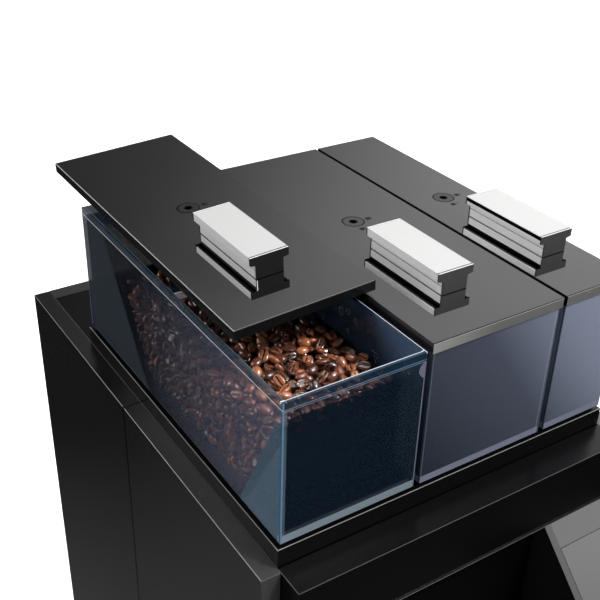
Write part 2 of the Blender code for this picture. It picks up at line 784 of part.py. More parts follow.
def powder_container():
    made = container("powder_container", RIGHT_X, RIGHT_WIDTH, "milky")
    x = RIGHT_X + RIGHT_WIDTH / 2
    z = CONTAINER_BOTTOM + FLOOR_RISE + AUGER_HEIGHT
    start, end = FRONT_WALL + CONTAINER_WALL, BACK_WALL + OVERRUN
    cut(made, rod("auger_bore", AUGER_SHAFT + GAP, "Y", (x, z), start, end, "milky", None, SMALL_ROUND))


def top_of_machine():
    left = container("bean_container_left", LEFT_X, LEFT_WIDTH, "smoke")
    shutter_slot(left, LEFT_X, LEFT_WIDTH)
    centre = container("bean_container_middle", MIDDLE_X, MIDDLE_WIDTH, "milky")
    shutter_slot(centre, MIDDLE_X, MIDDLE_WIDTH)
    powder_container()
    auger(RIGHT_X, RIGHT_WIDTH)
    shutter("shutter_left", LEFT_X, LEFT_WIDTH)
    shutter("shutter_middle", MIDDLE_X, MIDDLE_WIDTH)
    beans(LEFT_X, LEFT_WIDTH)
    # The lifted lid stands with its left ribs on the cross bar and its right ribs on the middle lid.
    span = LEFT_WIDTH - 2 * RIB_INSET
    tilt = math.asin((LID_THICKNESS - LID_LAP + GAP) / span)
    up = RIB_HEIGHT * math.cos(tilt) - RIB_INSET * math.sin(tilt) + GAP
    lifted = (LEFT_X + LIFTED_RIGHT, LID_FRONT + LIFTED_BACK, RIM + up)
    lid_set("left", frame_at("lid_left_frame", lifted, -tilt), LEFT_WIDTH, LEFT_HANDLE_PLACE)
    closed = frame_at("lid_middle_frame", (MIDDLE_X, LID_FRONT, LID_BOTTOM))
    lid_set("middle", closed, MIDDLE_WIDTH, MIDDLE_HANDLE_PLACE)
    closed = frame_at("lid_right_frame", (RIGHT_X, LID_FRONT, LID_BOTTOM))
    lid_set("right", closed, RIGHT_WIDTH, RIGHT_HANDLE_PLACE)


# Body: base, frame, panels, plinth

def base():
    back = BODY_BACK - BACK_SHEET - GAP
    made = shell("base_pan", (-INNER_X + GAP, BASE_FRONT, FOOT_HEIGHT), (INNER_X - GAP, back, BASE_RIM),
                 BASE_WALL, 2, 1, "black_satin")
    inside = BASE_WALL / 2
    start, low = BASE_FRONT + inside, BASE_FLOOR - inside
    runners = (
        (TRAY_LEFT, TRAY_BACK),
        (TRAY_RIGHT - RUNNER_WIDTH, TRAY_BACK),
        (INNER_X - DRAWER_WIDTH, DRAWER_BACK),
        (INNER_X - 2 * RUNNER_WIDTH, DRAWER_BACK),
    )
    tools = []
    for x, end in runners:
        tools.append(block("runner", (x, start, low), (x + RUNNER_WIDTH, end, BASE_RIM), "black_satin"))
    step_high = (INNER_X - GAP - inside, FASCIA_FRONT - GAP, BASE_RIM)
    tools.append(block("front_step", (TRAY_RIGHT + GAP, start, low), step_high, "black_satin"))
    weld(made, *tools)
    profile = (
        (FOOT_RADIUS * FOOT_SOLE_SHARE, 0),
        (FOOT_RADIUS, FOOT_HEIGHT * FOOT_FLARE_SHARE),
        (FOOT_RADIUS, FOOT_HEIGHT - GAP),
    )
    for side, x in (("left", -INNER_X + FOOT_INSET), ("right", INNER_X - FOOT_INSET)):
        for end, y in (("front", BASE_FRONT + FOOT_INSET), ("rear", BODY_BACK - FOOT_INSET)):
            turned(f"rubber_foot_{end}_{side}", profile, "Z", (x, y), "rubber", None, SMALL_ROUND)


def sides():
    seam = LID_FRONT + SEAM_SETBACK
    spans = {"front": (LID_FRONT - SIDE_SETBACK, seam - SEAM / 2), "rear": (seam + SEAM / 2, BODY_BACK)}
    for part, (start, end) in spans.items():
        for side, sign in (("left", -1), ("right", 1)):
            ends = sorted((sign * INNER_X, sign * BODY_WIDTH / 2))
            low, high = (ends[0], start, FOOT_HEIGHT), (ends[1], end, DECK_HEIGHT)
            made = shell(f"side_panel_{side}_{part}", low, high, SHEET, 0, -sign, "black_gloss")
            soften(made, EDGE / 2)


def chassis():
    """Four posts, two long top rails that reach into the fascia and two cross rails, welded."""
    low = BASE_FLOOR + GAP
    top = PLINTH_BOTTOM - GAP
    inner = POST_OUTER - POST
    pieces = []
    for side in (-1, 1):
        ends = sorted((side * inner, side * POST_OUTER))
        for y in (POST_FRONT, POST_BACK - POST):
            pieces.append(block("post", (ends[0], y, low), (ends[1], y + POST, top), "steel"))
        start = FASCIA_FRONT + SHEET + GAP
        pieces.append(block("top_rail", (ends[0], start, top - POST), (ends[1], POST_BACK, top), "steel"))
    for y in (POST_FRONT, POST_BACK - POST):
        pieces.append(block("cross_rail", (-POST_OUTER, y, top - POST), (POST_OUTER, y + POST, top), "steel"))
    frame, *others = pieces
    frame.name = "chassis_frame"
    weld(frame, *others)


def bulkhead():
    """The upright wall behind the cup bay."""
    top = PLINTH_BOTTOM - POST - 2 * GAP
    return block("bulkhead", (-INNER_X + GAP, BULKHEAD_FRONT, BASE_RIM + GAP),
                 (BREW_LEFT - GAP, BULKHEAD_FRONT + BULKHEAD_THICKNESS, top), "black_satin")


def back():
    y = BODY_BACK - BACK_SHEET
    left, right = -INNER_X + GAP, INNER_X - GAP
    high = (right, BODY_BACK, PLINTH_BOTTOM - GAP)
    made = block("back_panel", (left, y, FOOT_HEIGHT), high, "black_satin")
    start, end = y - OVERRUN, BODY_BACK + OVERRUN
    out = bmesh.new()
    fan_vents = FAN_Z - VENT_PITCH * VENT_COUNT / 2
    for centre, bottom in ((VENT_CENTRE, VENT_BOTTOM), (FAN_X, fan_vents)):
        x = centre - VENT_WIDTH / 2
        for i in range(VENT_COUNT):
            z = bottom + i * VENT_PITCH
            box_mesh((x, start, z), (x + VENT_WIDTH, end, z + VENT_HEIGHT), out)
    openings = (
        (INLET_X, INLET_Z, INLET_WIDTH, INLET_HEIGHT),
        (SWITCH_X, INLET_Z, SWITCH_WIDTH, SWITCH_HEIGHT),
        (BARB_X, BARB_Z, 2 * BARB_RADIUS, 2 * BARB_RADIUS),
    )
    for x, z, width, height in openings:
        wide, tall = width / 2 + GAP, height / 2 + GAP
        box_mesh((x - wide, start, z - tall), (x + wide, end, z + tall), out)
    cut(made, add_object("back_openings", out, "black_satin"))
    fan(made)
    rail_low, rail_high = (left, BODY_BACK - RAIL_DEPTH, PLINTH_BOTTOM), (right, BODY_BACK, DECK_HEIGHT)
    lip_low, lip_high = (left, y, PLINTH_BOTTOM - 2 * GAP), (right, BODY_BACK, DECK_HEIGHT - BACK_SHEET)
    lip = block("rail_lip", lip_low, lip_high, "black_gloss")
    weld(made, lip, block("rear_rail", rail_low, rail_high, "black_gloss"))


def plinth():
    """The raised top that carries the containers, with a pad and a throat under each."""
    low = (-INNER_X + GAP, FRONT_WALL - CONTAINER_INSET + GAP, PLINTH_BOTTOM)
    high = (INNER_X - GAP, LID_FRONT + LID_DEPTH, PLINTH_TOP)
    made = shell("container_plinth", low, high, PLINTH_WALL, 2, -1, "black_gloss")
    inset = CONTAINER_INSET + GROOVE_INSET
    pads, throats = [], []
    for left, width in ((LEFT_X, LEFT_WIDTH), (MIDDLE_X, MIDDLE_WIDTH), (RIGHT_X, RIGHT_WIDTH)):
        pad_low = (left + inset, LID_FRONT + inset, PLINTH_TOP - PLINTH_WALL / 2)
        pad_high = (left + width - inset, LID_FRONT + LID_DEPTH - inset, CONTAINER_BOTTOM - GAP)
        pads.append(block("pad", pad_low, pad_high, "black_satin"))
        centre = (left + width / 2, THROAT_Y)
        throat = rod("throat", THROAT_RADIUS, "Z", centre, PLINTH_BOTTOM, CONTAINER_BOTTOM, "black_satin")
        throats.append(throat)
    weld(made, *pads)
    cut(made, *throats)


def rear_deck():
    start = LID_FRONT + LID_DEPTH + GAP
    rail = BODY_BACK - RAIL_DEPTH
    low = (-INNER_X + GAP, start, DECK_HEIGHT - DECK_COVER_THICKNESS)
    block("rear_deck_cover", low, (INNER_X - GAP, rail - SEAM, DECK_HEIGHT), "black_gloss", None, EDGE / 2)


def fascia():
    left, right = -INNER_X + GAP, INNER_X - GAP
    high = (right, LID_FRONT - GAP, DECK_HEIGHT)
    made = shell("front_fascia", (left, FASCIA_FRONT, FASCIA_BOTTOM), high, SHEET, 1, 1, "black_gloss")
    soften(made, EDGE / 2)
    top = FASCIA_BOTTOM - GAP
    low = (left, FASCIA_FRONT - GAP, top - TRIM_HEIGHT)
    block("fascia_trim", low, (right, FASCIA_FRONT + TRIM_DEPTH, top), "chrome")


# Front: console, door and spout, cup bay, drip tray, drawer

def slant_point(along, depth=0.0):
    """Y and Z on the console's slanted face: a distance down the slope and a depth below the face."""
    c, s = math.cos(CONSOLE_SLOPE), math.sin(CONSOLE_SLOPE)
    return (FASCIA_FRONT - along * c + depth * s, CONSOLE_TOP - along * s - depth * c)


def slant_box(name, x, along, depth, material):
    corners = [slant_point(along[0], depth[0]), slant_point(along[1], depth[0]),
               slant_point(along[1], depth[1]), slant_point(along[0], depth[1])]
    return prism(name, corners, "X", x[0], x[1], material)


def console():
    top, bottom = CONSOLE_TOP, CONSOLE_FOOT
    tip = FASCIA_FRONT - CONSOLE_REACH
    right = INNER_X - GAP
    drop = CONSOLE_REACH * math.tan(CONSOLE_SLOPE)
    outline = [
        (FASCIA_FRONT, top), (tip, top - drop), (tip, top - drop - CONSOLE_LIP),
        (FASCIA_FRONT, bottom), (DOOR_BACK, bottom), (DOOR_BACK, top),
    ]
    made = prism("console_housing", outline, "X", CONSOLE_X, right, "black_gloss")
    wall = CONSOLE_WALL
    behind = DOOR_BACK + OVERRUN
    cavity = [
        (FASCIA_FRONT + 2 * wall, top - 2 * wall), (tip + 3 * wall, top - drop - wall),
        (FASCIA_FRONT + wall, bottom + wall), (behind, bottom + wall), (behind, top - 2 * wall),
    ]
    glass_x = (CONSOLE_X + DISPLAY_MARGIN, right - DISPLAY_MARGIN)
    seat_x = (glass_x[0] - GAP, glass_x[1] + GAP)
    button_x = (CONSOLE_X + right) / 2
    glass_along = (DISPLAY_SETBACK, DISPLAY_SETBACK + DISPLAY_LENGTH)
    seat_along = (glass_along[0] - GAP, glass_along[1] + GAP)
    seat_depth = (-OVERRUN, DISPLAY_THICKNESS + GAP)
    cut(
        made,
        prism("console_cavity", cavity, "X", CONSOLE_X + wall, right - wall, "black_gloss"),
        slant_box("display_seat", seat_x, seat_along, seat_depth, "black_gloss"),
    )
    glass = slant_box("touch_display", glass_x, glass_along, (0, DISPLAY_THICKNESS), "glass")
    soften(glass, EDGE / 2)
    frame = frame_at("button_frame", (button_x, *slant_point(BUTTON_SETBACK)))
    frame.rotation_euler = (CONSOLE_SLOPE, 0, 0)
    low, high = BUTTON_TRAVEL - BUTTON_HEIGHT, BUTTON_TRAVEL + EDGE
    rod("power_button", BUTTON_RADIUS, "Z", (0, 0), low, high, "black_satin", frame, SMALL_ROUND)
    radius = BUTTON_RADIUS + GAP
    low, high = -BUTTON_HEIGHT - GAP, 2 * OVERRUN
    cut(made, rod("button_bore", radius, "Z", (0, 0), low, high, "black_satin", frame, SMALL_ROUND))


def door():
    """The left part of the front, hinged on pins at its left edge."""
    top = CONSOLE_TOP
    low, high = (DOOR_LEFT, DOOR_FRONT, DOOR_BOTTOM), (DOOR_RIGHT, DOOR_BACK, top - HINGE_END)
    made = shell("front_door", low, high, BAY_WALL, 1, 1, "black_gloss")
    x, y = DOOR_LEFT + HINGE_INSET, DOOR_FRONT + HINGE_INSET
    rod("door_hinge_pin", HINGE_RADIUS, "Z", (x, y), DOOR_BOTTOM - HINGE_END, top, "steel", None, SMALL_ROUND)
    start, end = DOOR_BOTTOM - OVERRUN, top + OVERRUN
    cut(made, rod("hinge_bore", HINGE_RADIUS + GAP, "Z", (x, y), start, end, "steel", None, SMALL_ROUND))
    centre_on(made, (x, y, 0))


def spout():
    right = SPOUT_LEFT + SPOUT_WIDTH
    back = DOOR_FRONT - GAP
    front = back - SPOUT_REACH
    top = SPOUT_BOTTOM + SPOUT_HEIGHT
    outline = [
        (back, SPOUT_BOTTOM), (back, top), (front + SPOUT_NOSE, top),
        (front, top - SPOUT_NOSE), (front, SPOUT_BOTTOM),
    ]
    made = prism("spout_carriage", outline, "X", SPOUT_LEFT, right, "black_gloss")
    middle = (SPOUT_LEFT + right) / 2
    half = SPOUT_PLATE_WIDTH / 2
    plate_low = (middle - half, back - SPOUT_PLATE, SPOUT_BOTTOM)
    weld(made, block("spout_plate", plate_low, (middle + half, back, SPOUT_PLATE_TOP), "black_satin"))
    centre = front + SPOUT_NOSE
    bottom, up = SPOUT_BOTTOM - NOZZLE_LENGTH, SPOUT_BOTTOM - GAP
    profile = [
        (NOZZLE_RADIUS, up), (NOZZLE_RADIUS, bottom),
        (NOZZLE_BORE, bottom), (NOZZLE_BORE, up - 2 * NOZZLE_BORE),
    ]
    wide, deep = NOZZLE_SPACING / 2, NOZZLE_BORE
    tubes = []
    for x in (middle - wide, middle + wide):
        tubes.append(turned("spout_nozzles", profile, "Z", (x, centre), "steel", None, SMALL_ROUND))
    bridge_low = (middle - wide, centre - deep, up - NOZZLE_BORE)
    bridge = block("nozzle_bridge", bridge_low, (middle + wide, centre + deep, up), "steel")
    weld(tubes[0], tubes[1], bridge)


def hot_water():
    """A bent tube on the door."""
    out = bpy.data.curves.new("hot_water_nozzle", "CURVE")
    out.dimensions = "3D"
    out.bevel_depth = WATER_RADIUS
    out.bevel_resolution = 2
    out.use_fill_caps = True
    start = DOOR_FRONT - GAP
    end = start - WATER_REACH
    bend = WATER_REACH / 2
    points = [(start, WATER_HEIGHT)]
    for i in range(WATER_STEPS + 1):
        turn = math.pi / 2 * i / WATER_STEPS
        points.append((end + bend - bend * math.sin(turn), WATER_HEIGHT - bend + bend * math.cos(turn)))
    points.append((end, WATER_HEIGHT - WATER_DROP))
    line = out.splines.new("POLY")
    line.points.add(len(points) - 1)
    for point, (y, z) in zip(line.points, points):
        point.co = (WATER_PLACE, y, z, 1)
    made = bpy.data.objects.new("hot_water_nozzle", out)
    bpy.context.scene.collection.objects.link(made)
    out.materials.append(finish("chrome"))


def cup_bay():
    top = DOOR_BOTTOM - HINGE_END - GAP
    low = (DOOR_LEFT, DOOR_FRONT, BAY_BOTTOM)
    high = (DOOR_RIGHT, BULKHEAD_FRONT + BAY_WALL / 3, top)
    made = block("bay_liner", low, high, "black_satin")
    inner_low = (low[0] + BAY_WALL, low[1] - OVERRUN, low[2] - OVERRUN)
    inner_high = (high[0] - BAY_WALL, high[1] - BAY_WALL, high[2] - BAY_WALL)
    cut(made, block("bay_space", inner_low, inner_high, "black_satin"))
    weld(made, bulkhead())


def drip_tray():
    tray_low, tray_high = (TRAY_LEFT, TRAY_FRONT, TRAY_BOTTOM), (TRAY_RIGHT, TRAY_BACK, TRAY_TOP)
    shell("drip_tray", tray_low, tray_high, TRAY_WALL, 2, 1, "black_satin")
    low = (TRAY_LEFT + GRID_OVERLAP, TRAY_FRONT + GRID_OVERLAP, TRAY_TOP + GAP)
    high = (TRAY_RIGHT - GRID_OVERLAP, TRAY_BACK - GRID_OVERLAP, TRAY_TOP + GAP + GRID_THICKNESS)
    grid = block("drip_grid", low, high, "steel")
    out = bmesh.new()
    start, end = low[1] + SLOT_MARGIN, high[1] - SLOT_MARGIN
    pitch = (high[0] - low[0] - 2 * SLOT_MARGIN - SLOT_WIDTH) / (GRID_SLOTS - 1)
    middle = (start + end) / 2
    for i in range(GRID_SLOTS):
        x = low[0] + SLOT_MARGIN + i * pitch
        for a, b in ((start, middle - SLOT_WIDTH), (middle + SLOT_WIDTH, end)):
            box_mesh((x, a, low[2] - OVERRUN), (x + SLOT_WIDTH, b, high[2] + OVERRUN), out)
    cut(grid, add_object("grid_slots", out, "steel"))


def grounds_drawer():
    left = INNER_X - DRAWER_WIDTH
    right = INNER_X - 2 * GAP
    back = FASCIA_FRONT + DRAWER_FRONT_THICKNESS
    bin_low, bin_high = (left, back - GAP, TRAY_BOTTOM), (right - BASE_WALL, DRAWER_BACK, DRAWER_TOP)
    bin_shape = shell("grounds_bin", bin_low, bin_high, DRAWER_WALL, 2, 1, "black_satin")
    face_low, face_high = (CONSOLE_X, FASCIA_FRONT, TRAY_BOTTOM), (right, back, DRAWER_FRONT_TOP)
    face = block("grounds_drawer", face_low, face_high, "black_gloss")
    weld(face, bin_shape)
    middle = (CONSOLE_X + right) / 2
    half = PULL_WIDTH / 2
    top = DRAWER_FRONT_TOP - PULL_HEIGHT
    pull_low = (middle - half, FASCIA_FRONT - OVERRUN, top - PULL_HEIGHT)
    cut(face, block("finger_pull", pull_low, (middle + half, FASCIA_FRONT + PULL_DEPTH, top), "black_satin"))


# Inside: grinders, powder mixer, brew group, boiler, pump, electrics

def grinder(side, left, width):
    """Housing with its motor below, hung under the throat, and the burr that turns in its cup."""
    centre = (left + width / 2, THROAT_Y)
    top = PLINTH_TOP - PLINTH_WALL - GAP
    shoulder = top - GRINDER_NECK_LENGTH
    waist = shoulder - GRINDER_BODY_HEIGHT
    floor = waist + GRINDER_FLOOR
    profile = [
        (MOTOR_RADIUS, waist - MOTOR_HEIGHT), (MOTOR_RADIUS, waist), (GRINDER_RADIUS, waist),
        (GRINDER_RADIUS, shoulder), (GRINDER_NECK, shoulder), (GRINDER_NECK, top), (GRINDER_BORE, top),
        (GRINDER_BORE, shoulder), (GRINDER_CUP, shoulder - GRINDER_CUP + GRINDER_BORE), (GRINDER_CUP, floor),
    ]
    turned("grinder_" + side, profile, "Z", centre, "black_satin")
    rings = []
    for radius_share, height_share in BURR_SHARES:
        outer = BURR_RADIUS * radius_share
        z = floor + GAP + BURR_HEIGHT * height_share
        rings.append([(a, b, z) for a, b in star(outer, outer * BURR_ROOT_SHARE, BURR_TEETH, centre)])
    burr = add_object("grinder_burr_" + side, loft_mesh(rings), "steel")
    centre_on(burr, (*centre, 0))


def mixer():
    """A funnel under the powder throat, held by an arm on the post, with a vaned impeller."""
    centre = (RIGHT_X + RIGHT_WIDTH / 2, THROAT_Y)
    wall = BOWL_WALL
    neck = BOWL_RADIUS * BOWL_NECK_SHARE
    profile = [
        (BOWL_OUTLET, BOWL_BOTTOM), (BOWL_RADIUS, BOWL_WAIST), (BOWL_RADIUS, BOWL_SHOULDER), (neck, BOWL_TOP),
        (neck - wall, BOWL_TOP), (BOWL_RADIUS - wall, BOWL_SHOULDER), (BOWL_RADIUS - wall, BOWL_WAIST + wall),
        (BOWL_OUTLET, BOWL_WAIST + wall),
    ]
    bowl = turned("mixing_bowl", profile, "Z", centre, "white_plastic", None, SMALL_ROUND)
    end = POST_FRONT + POST + GAP
    half = POST / 4
    x = POST_OUTER - POST / 2
    low = BOWL_WAIST + wall
    arm_low, arm_high = (x - half, end, low), (x + half, centre[1], BOWL_SHOULDER - 2 * wall)
    weld(bowl, block("bowl_arm", arm_low, arm_high, "white_plastic"))
    high = BOWL_SHOULDER - wall / 2
    radius = BOWL_RADIUS - wall
    cut(bowl, rod("bowl_space", radius, "Z", centre, low, high, "white_plastic", None, SMALL_ROUND))
    low += GAP
    outline = star(IMPELLER_RADIUS, IMPELLER_RADIUS * IMPELLER_ROOT_SHARE, IMPELLER_BLADES, centre)
    impeller = prism("mixer_impeller", outline, "Z", low, low + IMPELLER_HEIGHT, "white_plastic")
    centre_on(impeller, (*centre, 0))


def brew_group():
    """A C-shaped frame with the brewing chamber on its lower shelf and the piston above it."""
    back = BULKHEAD_FRONT
    plate_back = POST_FRONT - GAP
    t = BREW_PLATE
    outline = [
        (plate_back, BREW_BOTTOM), (BREW_FRONT, BREW_BOTTOM),
        (BREW_FRONT, BREW_BOTTOM + t), (back, BREW_BOTTOM + t),
        (back, BREW_TOP - t), (BREW_FRONT, BREW_TOP - t),
        (BREW_FRONT, BREW_TOP), (plate_back, BREW_TOP),
    ]
    frame = prism("brew_frame", outline, "X", BREW_LEFT, BREW_RIGHT, "steel")
    centre = ((BREW_LEFT + BREW_RIGHT) / 2, BREW_AXIS_Y)
    start, end = BREW_TOP - 2 * t, BREW_TOP + OVERRUN
    cut(frame, rod("rod_hole", ROD_RADIUS + GAP, "Z", centre, start, end, "steel", None, SMALL_ROUND))
    low = BREW_BOTTOM + t / 2
    high = low + CHAMBER_HEIGHT
    floor = low + 2 * t
    profile = [(CHAMBER_RADIUS, low), (CHAMBER_RADIUS, high), (CHAMBER_BORE, high), (CHAMBER_BORE, floor)]
    weld(frame, turned("brew_chamber", profile, "Z", centre, "steel"))
    bottom = high + PISTON_LIFT
    top = bottom + PISTON_HEIGHT
    piston_radius = CHAMBER_BORE - GAP
    profile = [(piston_radius, bottom), (piston_radius, top), (ROD_RADIUS, top), (ROD_RADIUS, ROD_TOP)]
    piston = turned("brew_piston", profile, "Z", centre, "steel")
    centre_on(piston, (*centre, 0))


def boiler():
    floor = BASE_FLOOR + GAP
    z = floor + BOILER_FOOT + BOILER_RADIUS
    end = BOILER_Y + BOILER_LENGTH
    small = BOILER_RADIUS * BOILER_END_SHARE
    dome = BOILER_RADIUS * BOILER_DOME_SHARE
    profile = [(small, BOILER_Y - dome), (BOILER_RADIUS, BOILER_Y), (BOILER_RADIUS, end), (small, end + dome)]
    made = turned("boiler", profile, "Y", (BOILER_X, z), "steel")
    half = BOILER_RADIUS / 2
    for y in (BOILER_Y + dome, end - 2 * dome):
        foot_low, foot_high = (BOILER_X - half, y, floor), (BOILER_X + half, y + dome, z)
        weld(made, block("boiler_foot", foot_low, foot_high, "steel"))


def pump():
    floor = BASE_FLOOR + GAP
    high = floor + PUMP_HEIGHT
    half = PUMP_WIDTH / 2
    made = block("pump", (PUMP_X - half, PUMP_Y, floor), (PUMP_X + half, PUMP_Y + PUMP_LENGTH, high), "brass")
    centre = (PUMP_X, high - PUMP_MOTOR_RADIUS / 2)
    start = PUMP_Y + PUMP_LENGTH / 2
    end = start + PUMP_LENGTH
    weld(made, rod("pump_motor", PUMP_MOTOR_RADIUS, "Y", centre, start, end, "brass", None, SMALL_ROUND))


def electrics():
    floor = BASE_FLOOR + GAP
    height = BOARD_TOP - floor
    board_high = (BOARD_X + BOARD_THICKNESS, BOARD_Y + BOARD_LENGTH, BOARD_TOP)
    board = block("control_board", (BOARD_X, BOARD_Y, floor), board_high, "board")
    for start, low, wide, tall in CHIP_SHARES:
        y = BOARD_Y + start * BOARD_LENGTH
        z = floor + low * height
        end = (BOARD_X + BOARD_THICKNESS / 2, y + wide * BOARD_LENGTH, z + tall * height)
        weld(board, block("chip", (BOARD_X - CHIP_HEIGHT, y, z), end, "board"))
    y = BODY_BACK - BACK_SHEET - GAP
    wide, high = INLET_WIDTH / 2 - GAP, INLET_HEIGHT / 2 - GAP
    left, right = INLET_X - wide, INLET_X + wide
    bottom, top = INLET_Z - high, INLET_Z + high
    rim = BACK_SHEET
    inlet = block("service_inlets", (left, y - INLET_DEPTH, bottom), (right, BODY_BACK, top), "black_satin")
    flange_low, flange_high = (left - rim, y - rim, bottom - rim), (right + rim, y, top + rim)
    weld(inlet, block("inlet_flange", flange_low, flange_high, "black_satin"))
    floor_y = y - INLET_DEPTH + rim
    socket_high = (right - rim, BODY_BACK + OVERRUN, top - rim)
    cut(inlet, block("inlet_socket", (left + rim, floor_y, bottom + rim), socket_high, "black_satin"))
    half = SWITCH_WIDTH / 2 - GAP
    tall = SWITCH_HEIGHT / 2 - GAP
    pivot = BODY_BACK - SWITCH_DEPTH / 2
    rock = tall * math.tan(SWITCH_ROCK)
    face = BODY_BACK - GAP - rock
    out, root = tall * ROCKER_SHARE, tall * ROCKER_ROOT_SHARE
    shape = [
        (face, INLET_Z), (face + rock, INLET_Z + out), (pivot, INLET_Z + root),
        (pivot - GAP, INLET_Z), (pivot, INLET_Z - root), (face - rock / 2, INLET_Z - out),
    ]
    switch = prism("power_switch", shape, "X", SWITCH_X - half, SWITCH_X + half, "black_satin")
    centre_on(switch, (SWITCH_X, pivot, INLET_Z))
    mouth, inner_end = BODY_BACK - GAP, y - BARB_LENGTH / 2
    outer = BARB_RADIUS - GAP
    profile = [(outer, y - BARB_LENGTH), (outer, mouth), (BARB_BORE, mouth), (BARB_BORE, inner_end)]
    barb = turned("water_barb", profile, "Y", (BARB_X, BARB_Z), "brass", None, SMALL_ROUND)
    arm_low, arm_high = (BARB_X, y - BARB_LENGTH, bottom - 2 * rim), (left + rim, inner_end, bottom + rim)
    weld(inlet, block("inlet_arm", arm_low, arm_high, "black_satin"), barb)


def fan(panel):
    """A square frame moulded on the back panel, with a rotor in front of its spider."""
    back = BODY_BACK - BACK_SHEET / 2
    front = back - 2 * FAN_DEPTH
    half = FAN_RADIUS + 2 * BACK_SHEET
    centre = (FAN_X, FAN_Z)
    frame_low, frame_high = (FAN_X - half, front, FAN_Z - half), (FAN_X + half, back, FAN_Z + half)
    weld(panel, block("fan_frame", frame_low, frame_high, "black_satin"))
    radius, sheet_front = FAN_RADIUS + 2 * GAP, BODY_BACK - BACK_SHEET
    cut(panel, rod("fan_bore", radius, "Y", centre, front - OVERRUN, sheet_front, "black_satin"))
    bar = BACK_SHEET
    spider_end = front + bar
    for wide, tall in ((half - bar, bar), (bar, half - bar)):
        arm_low, arm_high = (FAN_X - wide, front, FAN_Z - tall), (FAN_X + wide, spider_end, FAN_Z + tall)
        weld(panel, block("fan_arm", arm_low, arm_high, "black_satin"))
    start = spider_end + GAP
    outline = star(FAN_RADIUS, FAN_HUB, FAN_BLADES, centre)
    rotor = prism("fan_rotor", outline, "Y", start, start + FAN_DEPTH, "black_satin")
    centre_on(rotor, (FAN_X, 0, FAN_Z))


def main():
    clear_scene()
    top_of_machine()
    base()
    sides()
    chassis()
    back()
    plinth()
    rear_deck()
    fascia()
    console()
    door()
    spout()
    hot_water()
    cup_bay()
    drip_tray()
    grounds_drawer()
    grinder("left", LEFT_X, LEFT_WIDTH)
    grinder("middle", MIDDLE_X, MIDDLE_WIDTH)
    mixer()
    brew_group()
    boiler()
    pump()
    electrics()


main()
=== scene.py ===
"""Looks of the bean to cup coffee machine: materials, loose beans, studio light and camera."""

import math
import random

import bpy
from mathutils import Matrix, Vector


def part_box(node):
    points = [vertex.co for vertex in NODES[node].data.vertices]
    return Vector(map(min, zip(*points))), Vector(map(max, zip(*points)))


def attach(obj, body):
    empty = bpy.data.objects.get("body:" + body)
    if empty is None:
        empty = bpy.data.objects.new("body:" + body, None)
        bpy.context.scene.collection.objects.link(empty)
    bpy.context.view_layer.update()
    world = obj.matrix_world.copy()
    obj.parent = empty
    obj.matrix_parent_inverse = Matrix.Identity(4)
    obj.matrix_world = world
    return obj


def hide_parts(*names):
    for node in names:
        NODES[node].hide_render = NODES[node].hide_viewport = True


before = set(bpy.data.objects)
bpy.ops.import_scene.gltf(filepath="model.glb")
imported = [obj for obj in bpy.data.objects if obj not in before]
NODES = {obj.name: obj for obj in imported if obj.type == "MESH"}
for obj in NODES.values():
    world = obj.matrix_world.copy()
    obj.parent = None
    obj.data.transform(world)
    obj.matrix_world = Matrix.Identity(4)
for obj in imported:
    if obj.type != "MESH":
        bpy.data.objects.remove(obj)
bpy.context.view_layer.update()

# Places that the looks are worked out from: the left, front and foot, then the right, rear and top of pieces
(BIN_LEFT, BIN_FRONT, BIN_FOOT), (BIN_RIGHT, BIN_REAR, BIN_RIM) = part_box("bean_container_left")
(MIDDLE_LEFT, _, _), (MIDDLE_RIGHT, _, _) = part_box("bean_container_middle")
(POWDER_LEFT, _, _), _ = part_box("powder_container")
(LID_LEFT, LID_FRONT, _), (LID_RIGHT, _, LID_TOP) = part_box("lid_middle")
(NARROW_LID_LEFT, _, _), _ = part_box("lid_right")
(PANEL_OUTER, PANEL_FRONT, _), (PANEL_INNER, PANEL_REAR, LEDGE_TOP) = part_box("side_panel_left_front")
(PLINTH_LEFT, PLINTH_FRONT, _), (_, _, PLINTH_RIM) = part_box("container_plinth")
(_, FASCIA_FRONT, FASCIA_FOOT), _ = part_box("front_fascia")
(_, _, TRIM_FOOT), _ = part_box("fascia_trim")
(CONSOLE_LEFT, _, _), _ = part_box("console_housing")
# A limit that tells a face from its neighbours lies about this far from the face
SKIN = 0.0002


def placed_object(name, mesh, material):
    """A new object in the scene with its mesh and its one material."""
    mesh.materials.append(material)
    made = bpy.data.objects.new(name, mesh)
    bpy.context.scene.collection.objects.link(made)
    return made


# Helpers for materials. A mask is 1 where it holds and 0 elsewhere, and places are in metres

NOISE_DETAIL = 3.0
COAT_ROUGHNESS = 0.05


def new_material(name):
    """A material, its node tree and its shader."""
    made = bpy.data.materials.new(name)
    made.use_nodes = True
    tree = made.node_tree
    return made, tree, tree.nodes["Principled BSDF"]


